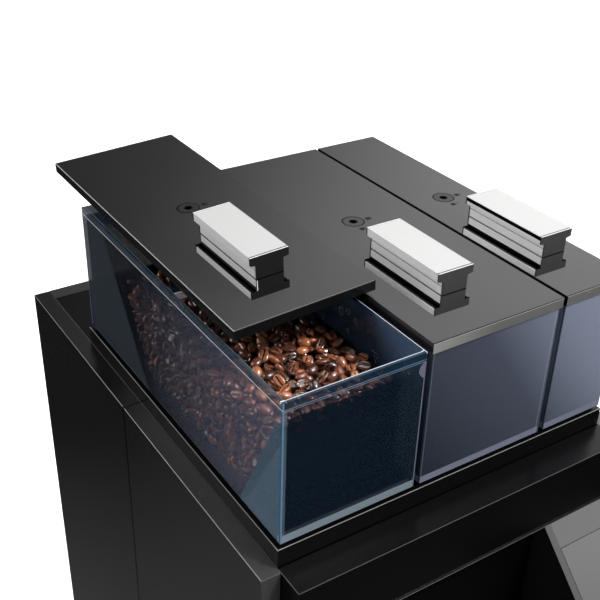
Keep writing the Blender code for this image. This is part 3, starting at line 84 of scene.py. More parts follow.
def add_noise(tree, shader, scale, roughness, spread, bump=0.0, bump_size=0.0004, stretch=None):
    """Small changes of roughness, and a fine relief where asked for, from object coordinates."""
    place = tree.nodes.new("ShaderNodeTexCoord")
    noise = tree.nodes.new("ShaderNodeTexNoise")
    noise.inputs["Scale"].default_value = scale
    noise.inputs["Detail"].default_value = NOISE_DETAIL
    source = place.outputs["Object"]
    if stretch:
        mapping = tree.nodes.new("ShaderNodeMapping")
        mapping.inputs["Scale"].default_value = stretch
        tree.links.new(source, mapping.inputs["Vector"])
        source = mapping.outputs["Vector"]
    tree.links.new(source, noise.inputs["Vector"])
    spread_node = tree.nodes.new("ShaderNodeMapRange")
    spread_node.inputs["To Min"].default_value = roughness - spread
    spread_node.inputs["To Max"].default_value = roughness + spread
    tree.links.new(noise.outputs["Fac"], spread_node.inputs["Value"])
    tree.links.new(spread_node.outputs["Result"], shader.inputs["Roughness"])
    if bump:
        relief = tree.nodes.new("ShaderNodeBump")
        relief.inputs["Strength"].default_value = bump
        relief.inputs["Distance"].default_value = bump_size
        tree.links.new(noise.outputs["Fac"], relief.inputs["Height"])
        tree.links.new(relief.outputs["Normal"], shader.inputs["Normal"])


def number(tree, operation, *values):
    """A math node; a value is a number or another node's output."""
    node = tree.nodes.new("ShaderNodeMath")
    node.operation = operation
    for i, value in enumerate(values):
        if isinstance(value, (int, float)):
            node.inputs[i].default_value = value
        else:
            tree.links.new(value, node.inputs[i])
    return node.outputs[0]


def place_of(tree):
    """X, Y and Z of the shaded point."""
    place = tree.nodes.new("ShaderNodeTexCoord")
    split = tree.nodes.new("ShaderNodeSeparateXYZ")
    tree.links.new(place.outputs["Object"], split.inputs[0])
    return split.outputs[0], split.outputs[1], split.outputs[2]


def above(tree, value, limit):
    """Mask of the values over a limit."""
    return number(tree, "GREATER_THAN", value, limit)


def below(tree, value, limit):
    """Mask of the values under a limit."""
    return number(tree, "LESS_THAN", value, limit)


def between(tree, value, low, high):
    """Mask of the values between two limits."""
    return number(tree, "MULTIPLY", above(tree, value, low), below(tree, value, high))


def near(tree, value, place, width):
    """Mask of the values that lie within a width on either side of a place."""
    return below(tree, number(tree, "ABSOLUTE", number(tree, "SUBTRACT", value, place)), width)


def any_of(tree, *masks):
    """Mask of where at least one mask holds."""
    found = masks[0]
    for mask in masks[1:]:
        found = number(tree, "MAXIMUM", found, mask)
    return found


def both(tree, *masks):
    """Mask of where all masks hold."""
    found = masks[0]
    for mask in masks[1:]:
        found = number(tree, "MULTIPLY", found, mask)
    return found


def ramp_from(tree, value, start, gain):
    """A number that is 0 where the value is at its start and changes by the gain for each unit."""
    return number(tree, "MULTIPLY", number(tree, "SUBTRACT", value, start), gain)


def slope_distance(tree, y, z, top_y, top_z, across, up):
    """Signed distance from a sloping wall through (top_y, top_z) whose normal is (across, up)."""
    return number(tree, "ADD", ramp_from(tree, y, top_y, across), ramp_from(tree, z, top_z, up))


def texture(tree, kind, scale):
    """A texture node in object coordinates."""
    place = tree.nodes.new("ShaderNodeTexCoord")
    made = tree.nodes.new(kind)
    made.inputs["Scale"].default_value = scale
    tree.links.new(place.outputs["Object"], made.inputs["Vector"])
    return made


def grey(level):
    """A colour with the same level in each channel."""
    return (level, level, level)


def blend_colour(tree, factor, first, second):
    """The first colour where the factor is 0, the second where it is 1."""
    mix = tree.nodes.new("ShaderNodeMix")
    mix.data_type = "RGBA"
    tree.links.new(factor, mix.inputs[0])
    for socket, colour in ((mix.inputs[6], first), (mix.inputs[7], second)):
        if isinstance(colour, tuple):
            socket.default_value = (*colour, 1)
        else:
            tree.links.new(colour, socket)
    return mix.outputs[2]


def colour_ramp(tree, share, stops):
    """A colour that runs through the stops' colours while the share goes from 0 to 1."""
    ramp = tree.nodes.new("ShaderNodeValToRGB")
    elements = ramp.color_ramp.elements
    for element, (position, colour) in ((elements[0], stops[0]), (elements[1], stops[-1])):
        element.position, element.color = position, (*colour, 1)
    for position, colour in stops[1:-1]:
        elements.new(position).color = (*colour, 1)
    tree.links.new(share, ramp.inputs["Fac"])
    return ramp.outputs["Color"]


def layered(tree, ground, layers):
    """The ground colour with each layer's colour over it where its mask holds, the last one on top."""
    for mask, colour in layers:
        ground = blend_colour(tree, mask, ground, colour)
    return ground


def plain(name, colour, roughness, metallic=0.0, scale=60.0, spread=0.03, bump=0.0, coat=0.0, specular=0.5,
          stretch=None):
    """One colour with small changes of roughness and, where asked for, a relief and a clear coat."""
    made, tree, shader = new_material(name)
    shader.inputs["Base Color"].default_value = (*colour, 1)
    shader.inputs["Metallic"].default_value = metallic
    shader.inputs["Specular IOR Level"].default_value = specular
    shader.inputs["Coat Weight"].default_value = coat
    shader.inputs["Coat Roughness"].default_value = COAT_ROUGHNESS
    add_noise(tree, shader, scale, roughness, spread, bump, stretch=stretch)
    return made


# Materials

# The left container, whose walls and ramps the smoke material tells apart
BIN_WALL, REAR_SKIN = 0.003, 0.0007
CAVITY_LEFT, CAVITY_RIGHT = BIN_LEFT + BIN_WALL + SKIN, BIN_RIGHT - BIN_WALL - SKIN
OUTER_LEFT, OUTER_FRONT, OUTER_REAR = BIN_LEFT + SKIN, BIN_FRONT + SKIN, BIN_REAR - REAR_SKIN
INNER_LEFT, INNER_RIGHT = CAVITY_LEFT + 2 * SKIN, CAVITY_RIGHT - 3 * SKIN
INNER_FRONT, INNER_REAR = OUTER_FRONT + BIN_WALL, OUTER_REAR - BIN_WALL
FOOT_STRIP_HEIGHT, RIM_BAND, RIM_LINE_DROP, RIM_SKIN = 0.0075, 0.0063, 0.0016, 0.0005
RIM_FOOT = BIN_RIM - RIM_BAND
RIM_LINE = RIM_FOOT - RIM_LINE_DROP
RAMP_TOP_DROP, REAR_SHELF = 0.005, 0.047
FRONT_RAMP_NORMAL, REAR_RAMP_NORMAL = (0.9011, 0.4334), (0.822, -0.569)


def bean_reflections(tree, inner_right):
    """Mask of pale arcs on the inner right wall, painted reflections of beans, from the rims of scattered
    cells.
    """
    cells = texture(tree, "ShaderNodeTexVoronoi", 105.0)
    spots = texture(tree, "ShaderNodeTexNoise", 60.0)
    x, _, z = place_of(tree)
    rims = between(tree, cells.outputs["Distance"], 0.24, 0.30)
    shown = above(tree, spots.outputs["Fac"], 0.52)
    lowest, highest, wall_side = BIN_RIM - 0.0435, BIN_RIM - 0.0115, BIN_RIGHT - 0.0025
    return both(tree, inner_right, rims, shown, between(tree, z, lowest, highest), below(tree, x, wall_side))


def corner_gleam(tree, outer_front):
    """Mask of a painted highlight with a rounded side, at the upper right corner of the front pane."""
    x, _, z = place_of(tree)
    middle, depth, curve, least, corner = BIN_RIM - 0.015, 0.0062, 85.0, 0.001, BIN_RIGHT - SKIN
    bulge = number(tree, "SUBTRACT", z, middle)
    squared = number(tree, "MULTIPLY", bulge, bulge)
    width = number(tree, "SUBTRACT", depth, number(tree, "MULTIPLY", squared, curve))
    start = number(tree, "SUBTRACT", corner, number(tree, "MAXIMUM", width, least))
    return both(tree, outer_front, above(tree, x, start), below(tree, z, RIM_LINE))


def smoke_material():
    """Tinted clear plastic with painted light and shade: a thin veil, dark ramps, a navy rim band, painted
    highlight lines, painted bean reflections, a light foot strip.
    """
    made, tree, shader = new_material("smoke_clear")
    x, y, z = place_of(tree)
    ramp_top = BIN_RIM - RAMP_TOP_DROP
    front_slope = slope_distance(tree, y, z, BIN_FRONT + BIN_WALL, ramp_top, *FRONT_RAMP_NORMAL)
    rear_slope = slope_distance(tree, y, z, BIN_REAR - REAR_SHELF, ramp_top, *REAR_RAMP_NORMAL)
    front, right, left = below(tree, y, INNER_FRONT), above(tree, x, INNER_RIGHT), below(tree, x, INNER_LEFT)
    outer_left, outer_front = below(tree, x, OUTER_LEFT), below(tree, y, OUTER_FRONT)
    ramp_half, ramp_seen_to, pane_margin = 0.0045, BIN_RIM - 0.0275, 0.002
    inside = both(tree, between(tree, x, CAVITY_LEFT, CAVITY_RIGHT), below(tree, z, ramp_seen_to))
    ramp = both(tree, inside, between(tree, front_slope, -ramp_half, ramp_half))
    corner_pane = both(tree, left, below(tree, front_slope, -pane_margin))
    rear_pane = any_of(tree, both(tree, left, above(tree, rear_slope, 0.0)), above(tree, y, INNER_REAR))
    foot = both(tree, front, below(tree, z, BIN_FOOT + FOOT_STRIP_HEIGHT))
    top, band = above(tree, z, BIN_RIM - RIM_SKIN), above(tree, z, RIM_FOOT)
    left_band, front_band = both(tree, band, outer_left), both(tree, band, outer_front)
    post_depth, corner_line_width = 0.0025, 0.0012
    post = both(tree, outer_left, below(tree, y, BIN_FRONT + post_depth))
    corner_line = both(tree, outer_front, below(tree, x, BIN_LEFT + corner_line_width))
    rear_line = both(tree, outer_left, above(tree, y, OUTER_REAR))
    left_line = both(tree, outer_left, near(tree, z, RIM_FOOT, width=0.00045))
    front_lines = both(tree, outer_front, any_of(tree, near(tree, z, RIM_FOOT, width=0.0003),
                                                 near(tree, z, RIM_LINE, width=0.00025)))
    on_rim = above(tree, z, BIN_RIM - 2 * RIM_SKIN)
    inner_lines = both(tree, on_rim, any_of(tree, near(tree, y, BIN_FRONT + BIN_WALL, width=0.0006),
                                            near(tree, x, BIN_RIGHT, width=0.0007)))
    left_inner_line = both(tree, on_rim, near(tree, x, BIN_LEFT + BIN_WALL, width=0.0005))
    # The part of the front pane through which the inner right wall is seen, painted a little lighter as
    # painted light from that wall
    wall_corner, seen_from = BIN_RIGHT - 0.004, BIN_RIGHT - 0.0227
    wall_foot, wall_rise = BIN_FOOT + 0.010, 1.39
    seen_foot = number(tree, "ADD", wall_foot, ramp_from(tree, x, wall_corner, -wall_rise))
    seen_wall = both(tree, front, above(tree, x, seen_from), above(tree, z, seen_foot))
    # The veil on the other faces gets lighter from the rear to the front, as painted light at the front and
    # painted shade at the rear
    forward = ramp_from(tree, y, BIN_REAR - 0.1075, -4.0)
    veil = blend_colour(tree, forward, (0.010, 0.012, 0.018), (0.11, 0.12, 0.175))
    solid = 0.38
    # Each layer's mask, its colour, and how solid it is; a later one covers those before it
    layers = (
        # Painted light on the inner right wall; the front pane painted dark as painted shade
        (right, (0.080, 0.155, 0.27), 0.64),
        (front, (0.006, 0.013, 0.024), 0.66),
        (seen_wall, (0.011, 0.020, 0.030), 0.66),
        # Painted reflections of beans on the inner right wall
        (bean_reflections(tree, right), (0.55, 0.60, 0.72), 0.75),
        # Painted light on the front of the left pane; its rear part and the ramps painted dark as painted
        # shade
        (corner_pane, (0.105, 0.165, 0.225), 0.5),
        (rear_pane, (0.024, 0.031, 0.040), 0.82),
        (ramp, (0.004, 0.008, 0.014), 0.86),
        (foot, (0.23, 0.28, 0.33), 0.85),
        (top, (0.004, 0.018, 0.036), 0.82),
        # The left side of the rim band painted lighter than the front side, as painted light
        (left_band, (0.040, 0.052, 0.068), 0.7),
        (front_band, (0.006, 0.023, 0.046), 0.8),
        # Painted highlights: the front left corner post, the front right corner, and light lines along the
        # edges and the rim
        (post, (0.028, 0.105, 0.20), 0.8),
        (corner_gleam(tree, outer_front), (0.17, 0.17, 0.24), 0.75),
        (rear_line, (0.11, 0.20, 0.29), 0.8),
        (corner_line, (0.15, 0.24, 0.34), 0.85),
        (front_lines, (0.17, 0.26, 0.36), 0.8),
        (left_line, (0.48, 0.53, 0.58), 0.85),
        (left_inner_line, (0.08, 0.11, 0.15), 0.8),
        (inner_lines, (0.6, 0.68, 0.78), 0.9),
    )
    for mask, colour, amount in layers:
        veil = blend_colour(tree, mask, veil, colour)
        rest = number(tree, "MULTIPLY", number(tree, "SUBTRACT", 1.0, mask), solid)
        solid = number(tree, "ADD", rest, number(tree, "MULTIPLY", mask, amount))
    tree.links.new(veil, shader.inputs["Base Color"])
    tree.links.new(solid, shader.inputs["Alpha"])
    shader.inputs["IOR"].default_value = 1.49
    shader.inputs["Specular IOR Level"].default_value = 0.2
    add_noise(tree, shader, 30.0, 0.06, 0.02)
    return made


RIB_PLACE, RIB_DEPTH = 0.1685, 0.0055
RIB_FRONT = BIN_FRONT + RIB_PLACE
RIB_REAR = RIB_FRONT + RIB_DEPTH


def clear_rib_material():
    """Clear plastic bar whose edges catch the light, as painted highlights."""
    made, tree, shader = new_material("clear_rib")
    _, y, _ = place_of(tree)
    middle_line, wide, narrow = RIB_FRONT + 0.0028, 0.0006, 0.0004
    # Painted highlights along the bar's edges
    lines = any_of(tree, near(tree, y, RIB_FRONT, wide), near(tree, y, middle_line, narrow),
                   near(tree, y, RIB_REAR, wide))
    tint = blend_colour(tree, lines, (0.004, 0.004, 0.005), grey(1.0))
    tree.links.new(tint, shader.inputs["Base Color"])
    thin_part, edge_part = 0.35, 0.55
    solid = number(tree, "ADD", thin_part, number(tree, "MULTIPLY", lines, edge_part))
    tree.links.new(solid, shader.inputs["Alpha"])
    add_noise(tree, shader, 30.0, 0.1, 0.02)
    return made


def milky_material():
    """Blue-grey plastic, painted lighter to the right and upwards as painted light, with a light foot strip,
    dark edge lines beside the gaps as painted shade, and painted glints.
    """
    made, tree, shader = new_material("milky_blue_grey")
    x, y, z = place_of(tree)
    # Painted light: lighter to the right and upwards
    share = number(tree, "ADD", ramp_from(tree, x, MIDDLE_LEFT - 0.002, 3.2),
                   ramp_from(tree, z, BIN_FOOT + 0.018, 2.2))
    ground = colour_ramp(tree, share, (
        (0.0, (0.018, 0.025, 0.038)),
        (0.42, (0.062, 0.072, 0.106)),
        (0.68, (0.188, 0.216, 0.288)),
        (1.0, (0.26, 0.297, 0.396)),
    ))
    foot_strip, front_depth, reach, edge_width = 0.0065, 0.0015, 0.0015, 0.0008
    foot = below(tree, z, BIN_FOOT + foot_strip)
    front = below(tree, y, BIN_FRONT + front_depth)
    left_corner = between(tree, x, MIDDLE_LEFT - reach, MIDDLE_LEFT + edge_width)
    gap_corners = between(tree, x, MIDDLE_RIGHT - reach, POWDER_LEFT + edge_width)
    # Dark lines on the front corners beside the gaps, as painted shade; the glints are painted highlights
    edge = both(tree, front, any_of(tree, left_corner, gap_corners))
    left_glint = between(tree, x, MIDDLE_LEFT + edge_width, MIDDLE_LEFT + 0.0014)
    right_glint = between(tree, x, MIDDLE_RIGHT - 0.0040, MIDDLE_RIGHT - 0.0028)
    glint = both(tree, front, any_of(tree, right_glint, left_glint))
    glint_share = 0.16
    tint = layered(tree, ground, (
        (foot, (0.19, 0.21, 0.285)),
        (edge, (0.045, 0.06, 0.085)),
        (number(tree, "MULTIPLY", glint, glint_share), (0.42, 0.46, 0.62)),
    ))
    tree.links.new(tint, shader.inputs["Base Color"])
    shader.inputs["Coat Weight"].default_value = 0.5
    shader.inputs["Coat Roughness"].default_value = 0.08
    add_noise(tree, shader, 40.0, 0.25, 0.04)
    return made


# The left lid lies open, tilted about its origin; the other two are closed
LID_TILT, LID_SLOPE = math.radians(3.0868), 0.05393
LEFT_LID_ORIGIN = (-0.163, -0.104, 0.7154712)
LID_THICKNESS = 0.009


def lid_material():
    """Satin black sheet: painted highlight lines along the open lid's edges and the closed lids' top front
    edge, front faces on the closed ones painted grey as painted light, a dark line along their front top
    edge, and dark strips beside the space between them as painted shade.
    """
    made, tree, shader = new_material("lid_black")
    x, y, z = place_of(tree)
    closed = above(tree, x, LID_LEFT - SKIN)
    front_depth, edge_height, groove_depth, gap_depth, overlap = 0.0005, 0.0008, 0.0011, 0.0007, 0.0001
    front = both(tree, closed, below(tree, y, LID_FRONT + front_depth))
    # A painted highlight along the top of the closed lids' front faces
    edge = both(tree, front, above(tree, z, LID_TOP - edge_height))
    # A dark line along the closed lids' front top edge
    front_top_dark_line = both(tree, closed, between(tree, y, LID_FRONT - SKIN, LID_FRONT + groove_depth),
                  above(tree, z, LID_TOP - SKIN))
    # Dark strips beside the space between the middle and right lids, as painted shade that widens it
    gap = both(tree, closed, any_of(
        tree, between(tree, x, LID_RIGHT - gap_depth, LID_RIGHT + overlap),
        between(tree, x, NARROW_LID_LEFT - overlap, NARROW_LID_LEFT + gap_depth)))
    dark = any_of(tree, front_top_dark_line, gap)
    tree.links.new(dark, shader.inputs["Metallic"])
    # The open lid's top edges carry a painted highlight line, at a height that is the same all over its slope
    height = number(tree, "SUBTRACT", z, number(tree, "MULTIPLY", x, LID_SLOPE))
    edge_level, under, over, open_right = 0.7333, 0.0006, 0.0003, LID_LEFT + 0.0035
    origin_x, origin_y, _ = LEFT_LID_ORIGIN
    left_side, front_side = below(tree, x, origin_x + overlap), below(tree, y, origin_y + under)
    open_edge = both(tree, between(tree, height, edge_level - under, edge_level + over),
                     any_of(tree, left_side, front_side), below(tree, x, open_right),
                     above(tree, y, origin_y - front_depth))
    # The closed lids' front faces fade from grey to dark towards the right, as painted light
    lightest, darkest = 0.26, 0.125
    fade = number(tree, "SUBTRACT", lightest, ramp_from(tree, x, LID_LEFT, 2.2))
    faded = tree.nodes.new("ShaderNodeMix")
    faded.data_type = "RGBA"
    faded.blend_type = "MULTIPLY"
    tree.links.new(front, faded.inputs[0])
    tree.links.new(blend_colour(tree, front, (0.006, 0.006, 0.0062), (1, 1, 0.95)), faded.inputs[6])
    tree.links.new(number(tree, "MAXIMUM", fade, darkest), faded.inputs[7])
    tint = layered(tree, faded.outputs[2], (
        (edge, grey(0.4)),
        (dark, grey(0.001)),
        (open_edge, grey(0.11)),
        (both(tree, open_edge, left_side), grey(0.3)),
    ))
    tree.links.new(tint, shader.inputs["Base Color"])
    add_noise(tree, shader, 14.0, 0.28, 0.02)
    return made


# Faces of the body whose distance is measured from its middle, and its seam and plinth
SIDE_FACE, LEDGE_INNER, PLINTH_SIDE = -PANEL_OUTER, -PANEL_INNER, -PLINTH_LEFT
SEAM_HALF, PLINTH_RIM_HEIGHT = 0.0004, 0.0037
PANEL_SEAM, PLINTH_TOP = PANEL_REAR + SEAM_HALF, PLINTH_RIM - PLINTH_RIM_HEIGHT


def body_material(name, gloss):
    """Gloss black panels, painted a little lighter towards the front as painted light, with fine painted
    highlight lines along their edges.
    """
    made, tree, shader = new_material(name)
    shader.inputs["Specular IOR Level"].default_value = gloss
    x, y, z = place_of(tree)
    side = number(tree, "ABSOLUTE", x)
    thin, fine, seam_width, overlap = 0.0005, 0.0004, 0.0012, 0.0001
    side_edge, front_edge = near(tree, side, SIDE_FACE, thin), near(tree, y, FASCIA_FRONT, thin)
    plinth_top, ledge_level = near(tree, z, PLINTH_TOP, thin), near(tree, z, LEDGE_TOP, thin)
    panel_front = near(tree, y, PANEL_FRONT, thin)
    # Painted highlight lines along the edges of the side panels, ledges, plinth and fascia
    ledge = both(tree, any_of(tree, side_edge, near(tree, side, LEDGE_INNER, fine)), ledge_level)
    bright = any_of(tree, both(tree, near(tree, side, PLINTH_SIDE, thin), plinth_top),
                    both(tree, near(tree, y, PLINTH_FRONT, thin), plinth_top),
                    both(tree, front_edge, near(tree, z, FASCIA_FOOT, thin)))
    faint_highlight = any_of(tree, both(tree, front_edge, ledge_level),
                   both(tree, panel_front, above(tree, side, LEDGE_INNER - overlap)),
                   both(tree, side_edge, panel_front))
    # Painted light: the panels and the ledge tops get lighter towards the front
    ledge_top = both(tree, between(tree, side, LEDGE_INNER + fine, SIDE_FACE - thin), ledge_level)
    panel_start, ledge_start = PANEL_SEAM, PANEL_SEAM + 0.04
    panel = blend_colour(tree, ramp_from(tree, y, panel_start, -4.0), grey(0.006), grey(0.020))
    lit_ledge = blend_colour(tree, ramp_from(tree, y, ledge_start, -12.0), grey(0.003), grey(0.042))
    panel = blend_colour(tree, ledge_top, panel, lit_ledge)
    seam = both(tree, near(tree, y, PANEL_SEAM, seam_width), above(tree, side, SIDE_FACE - thin))
    tint = layered(tree, (0.003, 0.003, 0.0031), (
        (above(tree, side, PLINTH_SIDE + overlap), panel),
        (bright, grey(0.30)),
        (ledge, grey(0.14)),
        (faint_highlight, grey(0.06)),
        (seam, grey(0.0)),
    ))
    tree.links.new(seam, shader.inputs["Metallic"])
    tree.links.new(tint, shader.inputs["Base Color"])
    add_noise(tree, shader, 20.0, 0.26, 0.03)
    return made


def trim_material():
    """Dark strip under the fascia with a painted highlight line along its lower edge."""
    made, tree, shader = new_material("bright_trim")
    _, _, z = place_of(tree)
    # Painted highlight along the lower edge
    tint = blend_colour(tree, near(tree, z, TRIM_FOOT, width=0.0006), grey(0.006), grey(0.22))
    tree.links.new(tint, shader.inputs["Base Color"])
    add_noise(tree, shader, 40.0, 0.3, 0.03)
    return made


def console_material():
    """Grey on the slanted face and darker on its left edge, black on the sides behind it."""
    made, tree, shader = new_material("console_grey")
    x, y, z = place_of(tree)
    face_distance, strip_width = 0.7127, 0.0072
    face = above(tree, number(tree, "SUBTRACT", z, y), face_distance)
    strip = both(tree, face, below(tree, x, CONSOLE_LEFT + strip_width))
    tint = layered(tree, grey(0.010), ((face, grey(0.105)), (strip, grey(0.06))))
    tree.links.new(tint, shader.inputs["Base Color"])
    add_noise(tree, shader, 25.0, 0.2, 0.03)
    return made


LOCKS = ((-0.0986, 0.095), (0.028, 0.014), (0.135, 0.014))


def lock_material():
    """Dark cylinder face with a black outline and keyhole, and a light pin in the middle; the left lock's
    face is painted darker as painted shade.
    """
    made, tree, shader = new_material("lock_face")
    x, y, _ = place_of(tree)
    nearest = None
    for lock_x, lock_y in LOCKS:
        away_x, away_y = number(tree, "SUBTRACT", x, lock_x), number(tree, "SUBTRACT", y, lock_y)
        away = number(tree, "SQRT", number(tree, "ADD", number(tree, "MULTIPLY", away_x, away_x),
                                           number(tree, "MULTIPLY", away_y, away_y)))
        nearest = away if nearest is None else number(tree, "MINIMUM", nearest, away)
    pin, keyhole, rim = 0.0012, 0.0042, 0.0093
    # The left lock's face is painted darker than the others, as painted shade
    right_of_left_lock = above(tree, x, -0.05)
    ground = blend_colour(tree, right_of_left_lock, grey(0.014), grey(0.042))
    tint = layered(tree, grey(0.0008), (
        (between(tree, nearest, keyhole, rim), ground),
        (below(tree, nearest, pin), grey(0.3)),
    ))
    tree.links.new(tint, shader.inputs["Base Color"])
    shader.inputs["Specular IOR Level"].default_value = 0.1
    add_noise(tree, shader, 30.0, 0.45, 0.04)
    return made


def handle_lines():
    """Middle line, front end and foot of each handle."""
    ends = [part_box("handle_inserts_" + side) for side in ("left", "middle", "right")]
    lines = [((low[0] + high[0]) / 2, low[1], low[2]) for low, high in ends]
    # The left one's line and foot are measured in its lid's own tilted frame
    lid_line, lid_foot = 0.04975, 0.0093
    lines[0] = (lid_line, lines[0][1], lid_foot)
    return lines


HANDLES = handle_lines()
LEFT_HANDLE_END, MIDDLE_HANDLE_END = -0.09, 0.06


def handle_place(tree):
    """Place on a handle: across its middle line, along from its front, above its foot, and a left mask."""
    x, y, z = place_of(tree)
    from_x = number(tree, "SUBTRACT", x, LEFT_LID_ORIGIN[0])
    from_z = number(tree, "SUBTRACT", z, LEFT_LID_ORIGIN[2])
    c, s = math.cos(LID_TILT), math.sin(LID_TILT)
    lid_x = number(tree, "ADD", number(tree, "MULTIPLY", from_x, c), number(tree, "MULTIPLY", from_z, s))
    lid_z = number(tree, "SUBTRACT", number(tree, "MULTIPLY", from_z, c), number(tree, "MULTIPLY", from_x, s))
    left = below(tree, x, LEFT_HANDLE_END)
    middle = between(tree, x, LEFT_HANDLE_END, MIDDLE_HANDLE_END)
    right = above(tree, x, MIDDLE_HANDLE_END)

    def chosen(values, axis):
        total = None
        for mask, value, handle in zip((left, middle, right), values, HANDLES):
            part = number(tree, "MULTIPLY", mask, number(tree, "SUBTRACT", value, handle[axis]))
            total = part if total is None else number(tree, "ADD", total, part)
        return total

    return chosen((lid_x, x, x), 0), chosen((y, y, y), 1), chosen((lid_z, z, z), 2), left


def handle_material():
    """Satin aluminium: a dark seam, a fine line above it, painted shadow along the flanges and under the
    right handle's cap, outlined top edges, and painted light on the left handle and the sides.
    """
    made, tree, shader = new_material("satin_aluminium")
    across, along, level, left = handle_place(tree)
    x, _, _ = place_of(tree)
    aside = number(tree, "ABSOLUTE", across)
    web_half, flange_half, top_half = 0.0126, 0.0168, 0.0167
    seam = between(tree, level, 0.0156, 0.0171)
    line = both(tree, near(tree, level, 0.0243, 0.0003), below(tree, aside, web_half))
    top = above(tree, level, 0.0363)
    front_line = both(tree, top, below(tree, along, 0.0024))
    right_line = both(tree, top, above(tree, across, top_half))
    # Painted shadow along the flanges and under the right handle's cap
    flange_shadow = both(tree, between(tree, level, 0.0050, 0.0092), below(tree, aside, flange_half))
    right_cap_shadow = both(tree, above(tree, x, 0.0985), below(tree, across, -top_half),
                             between(tree, level, 0.0328, 0.0362))
    dark = any_of(tree, flange_shadow, right_cap_shadow)
    # Painted light: the left handle lighter than the others, and the sides lighter than the tops
    ground = blend_colour(tree, left, (0.86, 0.86, 0.855), (0.64, 0.64, 0.637))
    tint = layered(tree, ground, (
        (top, (0.46, 0.46, 0.457)),
        (line, grey(0.16)),
        (right_line, grey(0.3)),
        (any_of(tree, seam, front_line), grey(0.02)),
        (dark, grey(0.002)),
    ))
    tree.links.new(tint, shader.inputs["Base Color"])
    least_metallic = 0.15
    tree.links.new(number(tree, "MAXIMUM", dark, least_metallic), shader.inputs["Metallic"])
    add_noise(tree, shader, 500.0, 0.4, 0.05, stretch=(1, 0.03, 1))
    return made


def handle_end_material():
    """Grey end caps with a top painted bright as painted light and a dark seam, black strips on the flange;
    the left cap is painted darker as painted shade and has a painted highlight.
    """
    made, tree, shader = new_material("handle_end")
    turned = tree.nodes.new("ShaderNodeNewGeometry")
    split = tree.nodes.new("ShaderNodeSeparateXYZ")
    tree.links.new(turned.outputs["Normal"], split.inputs[0])
    across, along, level, left = handle_place(tree)
    aside = number(tree, "ABSOLUTE", across)
    upward, cap_foot, web_half = above(tree, split.outputs["Z"], 0.5), 0.03, 0.0122
    strip = both(tree, upward, below(tree, level, cap_foot))
    strip_line = both(tree, strip, near(tree, aside, 0.0152, 0.00025))
    top = both(tree, upward, above(tree, level, cap_foot))
    seam = both(tree, near(tree, level, 0.0165, 0.0006), below(tree, aside, web_half))
    # A painted highlight on the left handle's end
    gleam = both(tree, left, below(tree, along, 0.0012), between(tree, across, -web_half, -0.0113),
                 between(tree, level, 0.0068, 0.0156))
    # The left end cap painted darker as painted shade, and the tops painted bright as painted light
    tint = layered(tree, blend_colour(tree, left, grey(0.062), grey(0.019)), (
        (strip, grey(0.001)),
        (strip_line, grey(0.03)),
        (top, grey(0.6)),
        (seam, grey(0.001)),
        (gleam, grey(0.9)),
    ))
    tree.links.new(tint, shader.inputs["Base Color"])
    shader.inputs["Specular IOR Level"].default_value = 0.12
    shader.inputs["Specular Tint"].default_value = (0, 0, 0, 1)
    tree.links.new(strip, shader.inputs["Metallic"])
    add_noise(tree, shader, 60.0, 0.35, 0.04)
    return made


LOOKS = {
    "lid_black": lid_material(),
    "black_gloss": body_material("body_black", 0.5),
    "black_deck": body_material("deck_black", 0.15),
    "black_satin": plain("satin_black", (0.010, 0.010, 0.0105), 0.4, spread=0.05, bump=0.15),
    "door_black": plain("door_black", grey(0.001), 0.6, specular=0.1),
    "handle_end": handle_end_material(),
    "lock_black": lock_material(),
    "trim": trim_material(),
    "mark_black": plain("mark_black", grey(0.004), 0.5, specular=0.1),
    "aluminium": handle_material(),
    "steel": plain("brushed_steel", (0.5, 0.5, 0.49), 0.3, metallic=1.0, scale=400, spread=0.06,
                   stretch=(1, 0.05, 1)),
    "chrome": plain("polished_chrome", (0.75, 0.75, 0.77), 0.08, metallic=1.0, spread=0.02),
    "rubber": plain("black_rubber", grey(0.02), 0.75, bump=0.3),
    "brass": plain("brass", (0.6, 0.42, 0.18), 0.3, metallic=1.0),
    "board": plain("circuit_board", (0.02, 0.12, 0.05), 0.4),
    "white_plastic": plain("white_plastic", (0.7, 0.7, 0.68), 0.4),
    "grey_panel": console_material(),
    "display": plain("display_glass", grey(0.086), 0.1, spread=0.02, coat=0.5),
    "smoke": smoke_material(),
    "milky": milky_material(),
    "rib": clear_rib_material(),
}
GROUPS = {
    "lid_black": ["lid_left", "lid_middle", "lid_right"],
    "lock_black": ["lock_left", "lock_middle", "lock_right"],
    "black_gloss": ["side_panel_left_front", "side_panel_left_rear", "side_panel_right_front",
                    "side_panel_right_rear", "spout_carriage", "grounds_drawer"],
    "black_deck": ["front_fascia", "container_plinth", "rear_deck_cover"],
    "door_black": ["front_door"],
    "trim": ["fascia_trim"],
    "grey_panel": ["console_housing"],
    "black_satin": ["back_panel", "base_pan", "bay_liner", "drip_tray", "power_button", "power_switch",
                    "service_inlets", "fan_rotor", "grinder_left", "grinder_middle"],
    "handle_end": ["handle_inserts_left", "handle_inserts_middle", "handle_inserts_right"],
    "aluminium": ["handle_left", "handle_middle", "handle_right"],
    "steel": ["chassis_frame", "drip_grid", "shutter_left", "shutter_middle", "powder_auger", "brew_frame",
              "brew_piston", "boiler", "door_hinge_pin", "spout_nozzles", "grinder_burr_left",
              "grinder_burr_middle"],
    "chrome": ["hot_water_nozzle"],
    "smoke": ["bean_container_left"],
    "milky": ["bean_container_middle", "powder_container"],
    "rubber": ["rubber_foot_front_left", "rubber_foot_front_right", "rubber_foot_rear_left",
               "rubber_foot_rear_right"],
    "display": ["touch_display"],
    "brass": ["pump"],
    "board": ["control_board"],
    "white_plastic": ["mixing_bowl", "mixer_impeller"],
}
for look, names in GROUPS.items():
    for node in names:
        for slot in NODES[node].material_slots:
            slot.material = LOOKS[look]
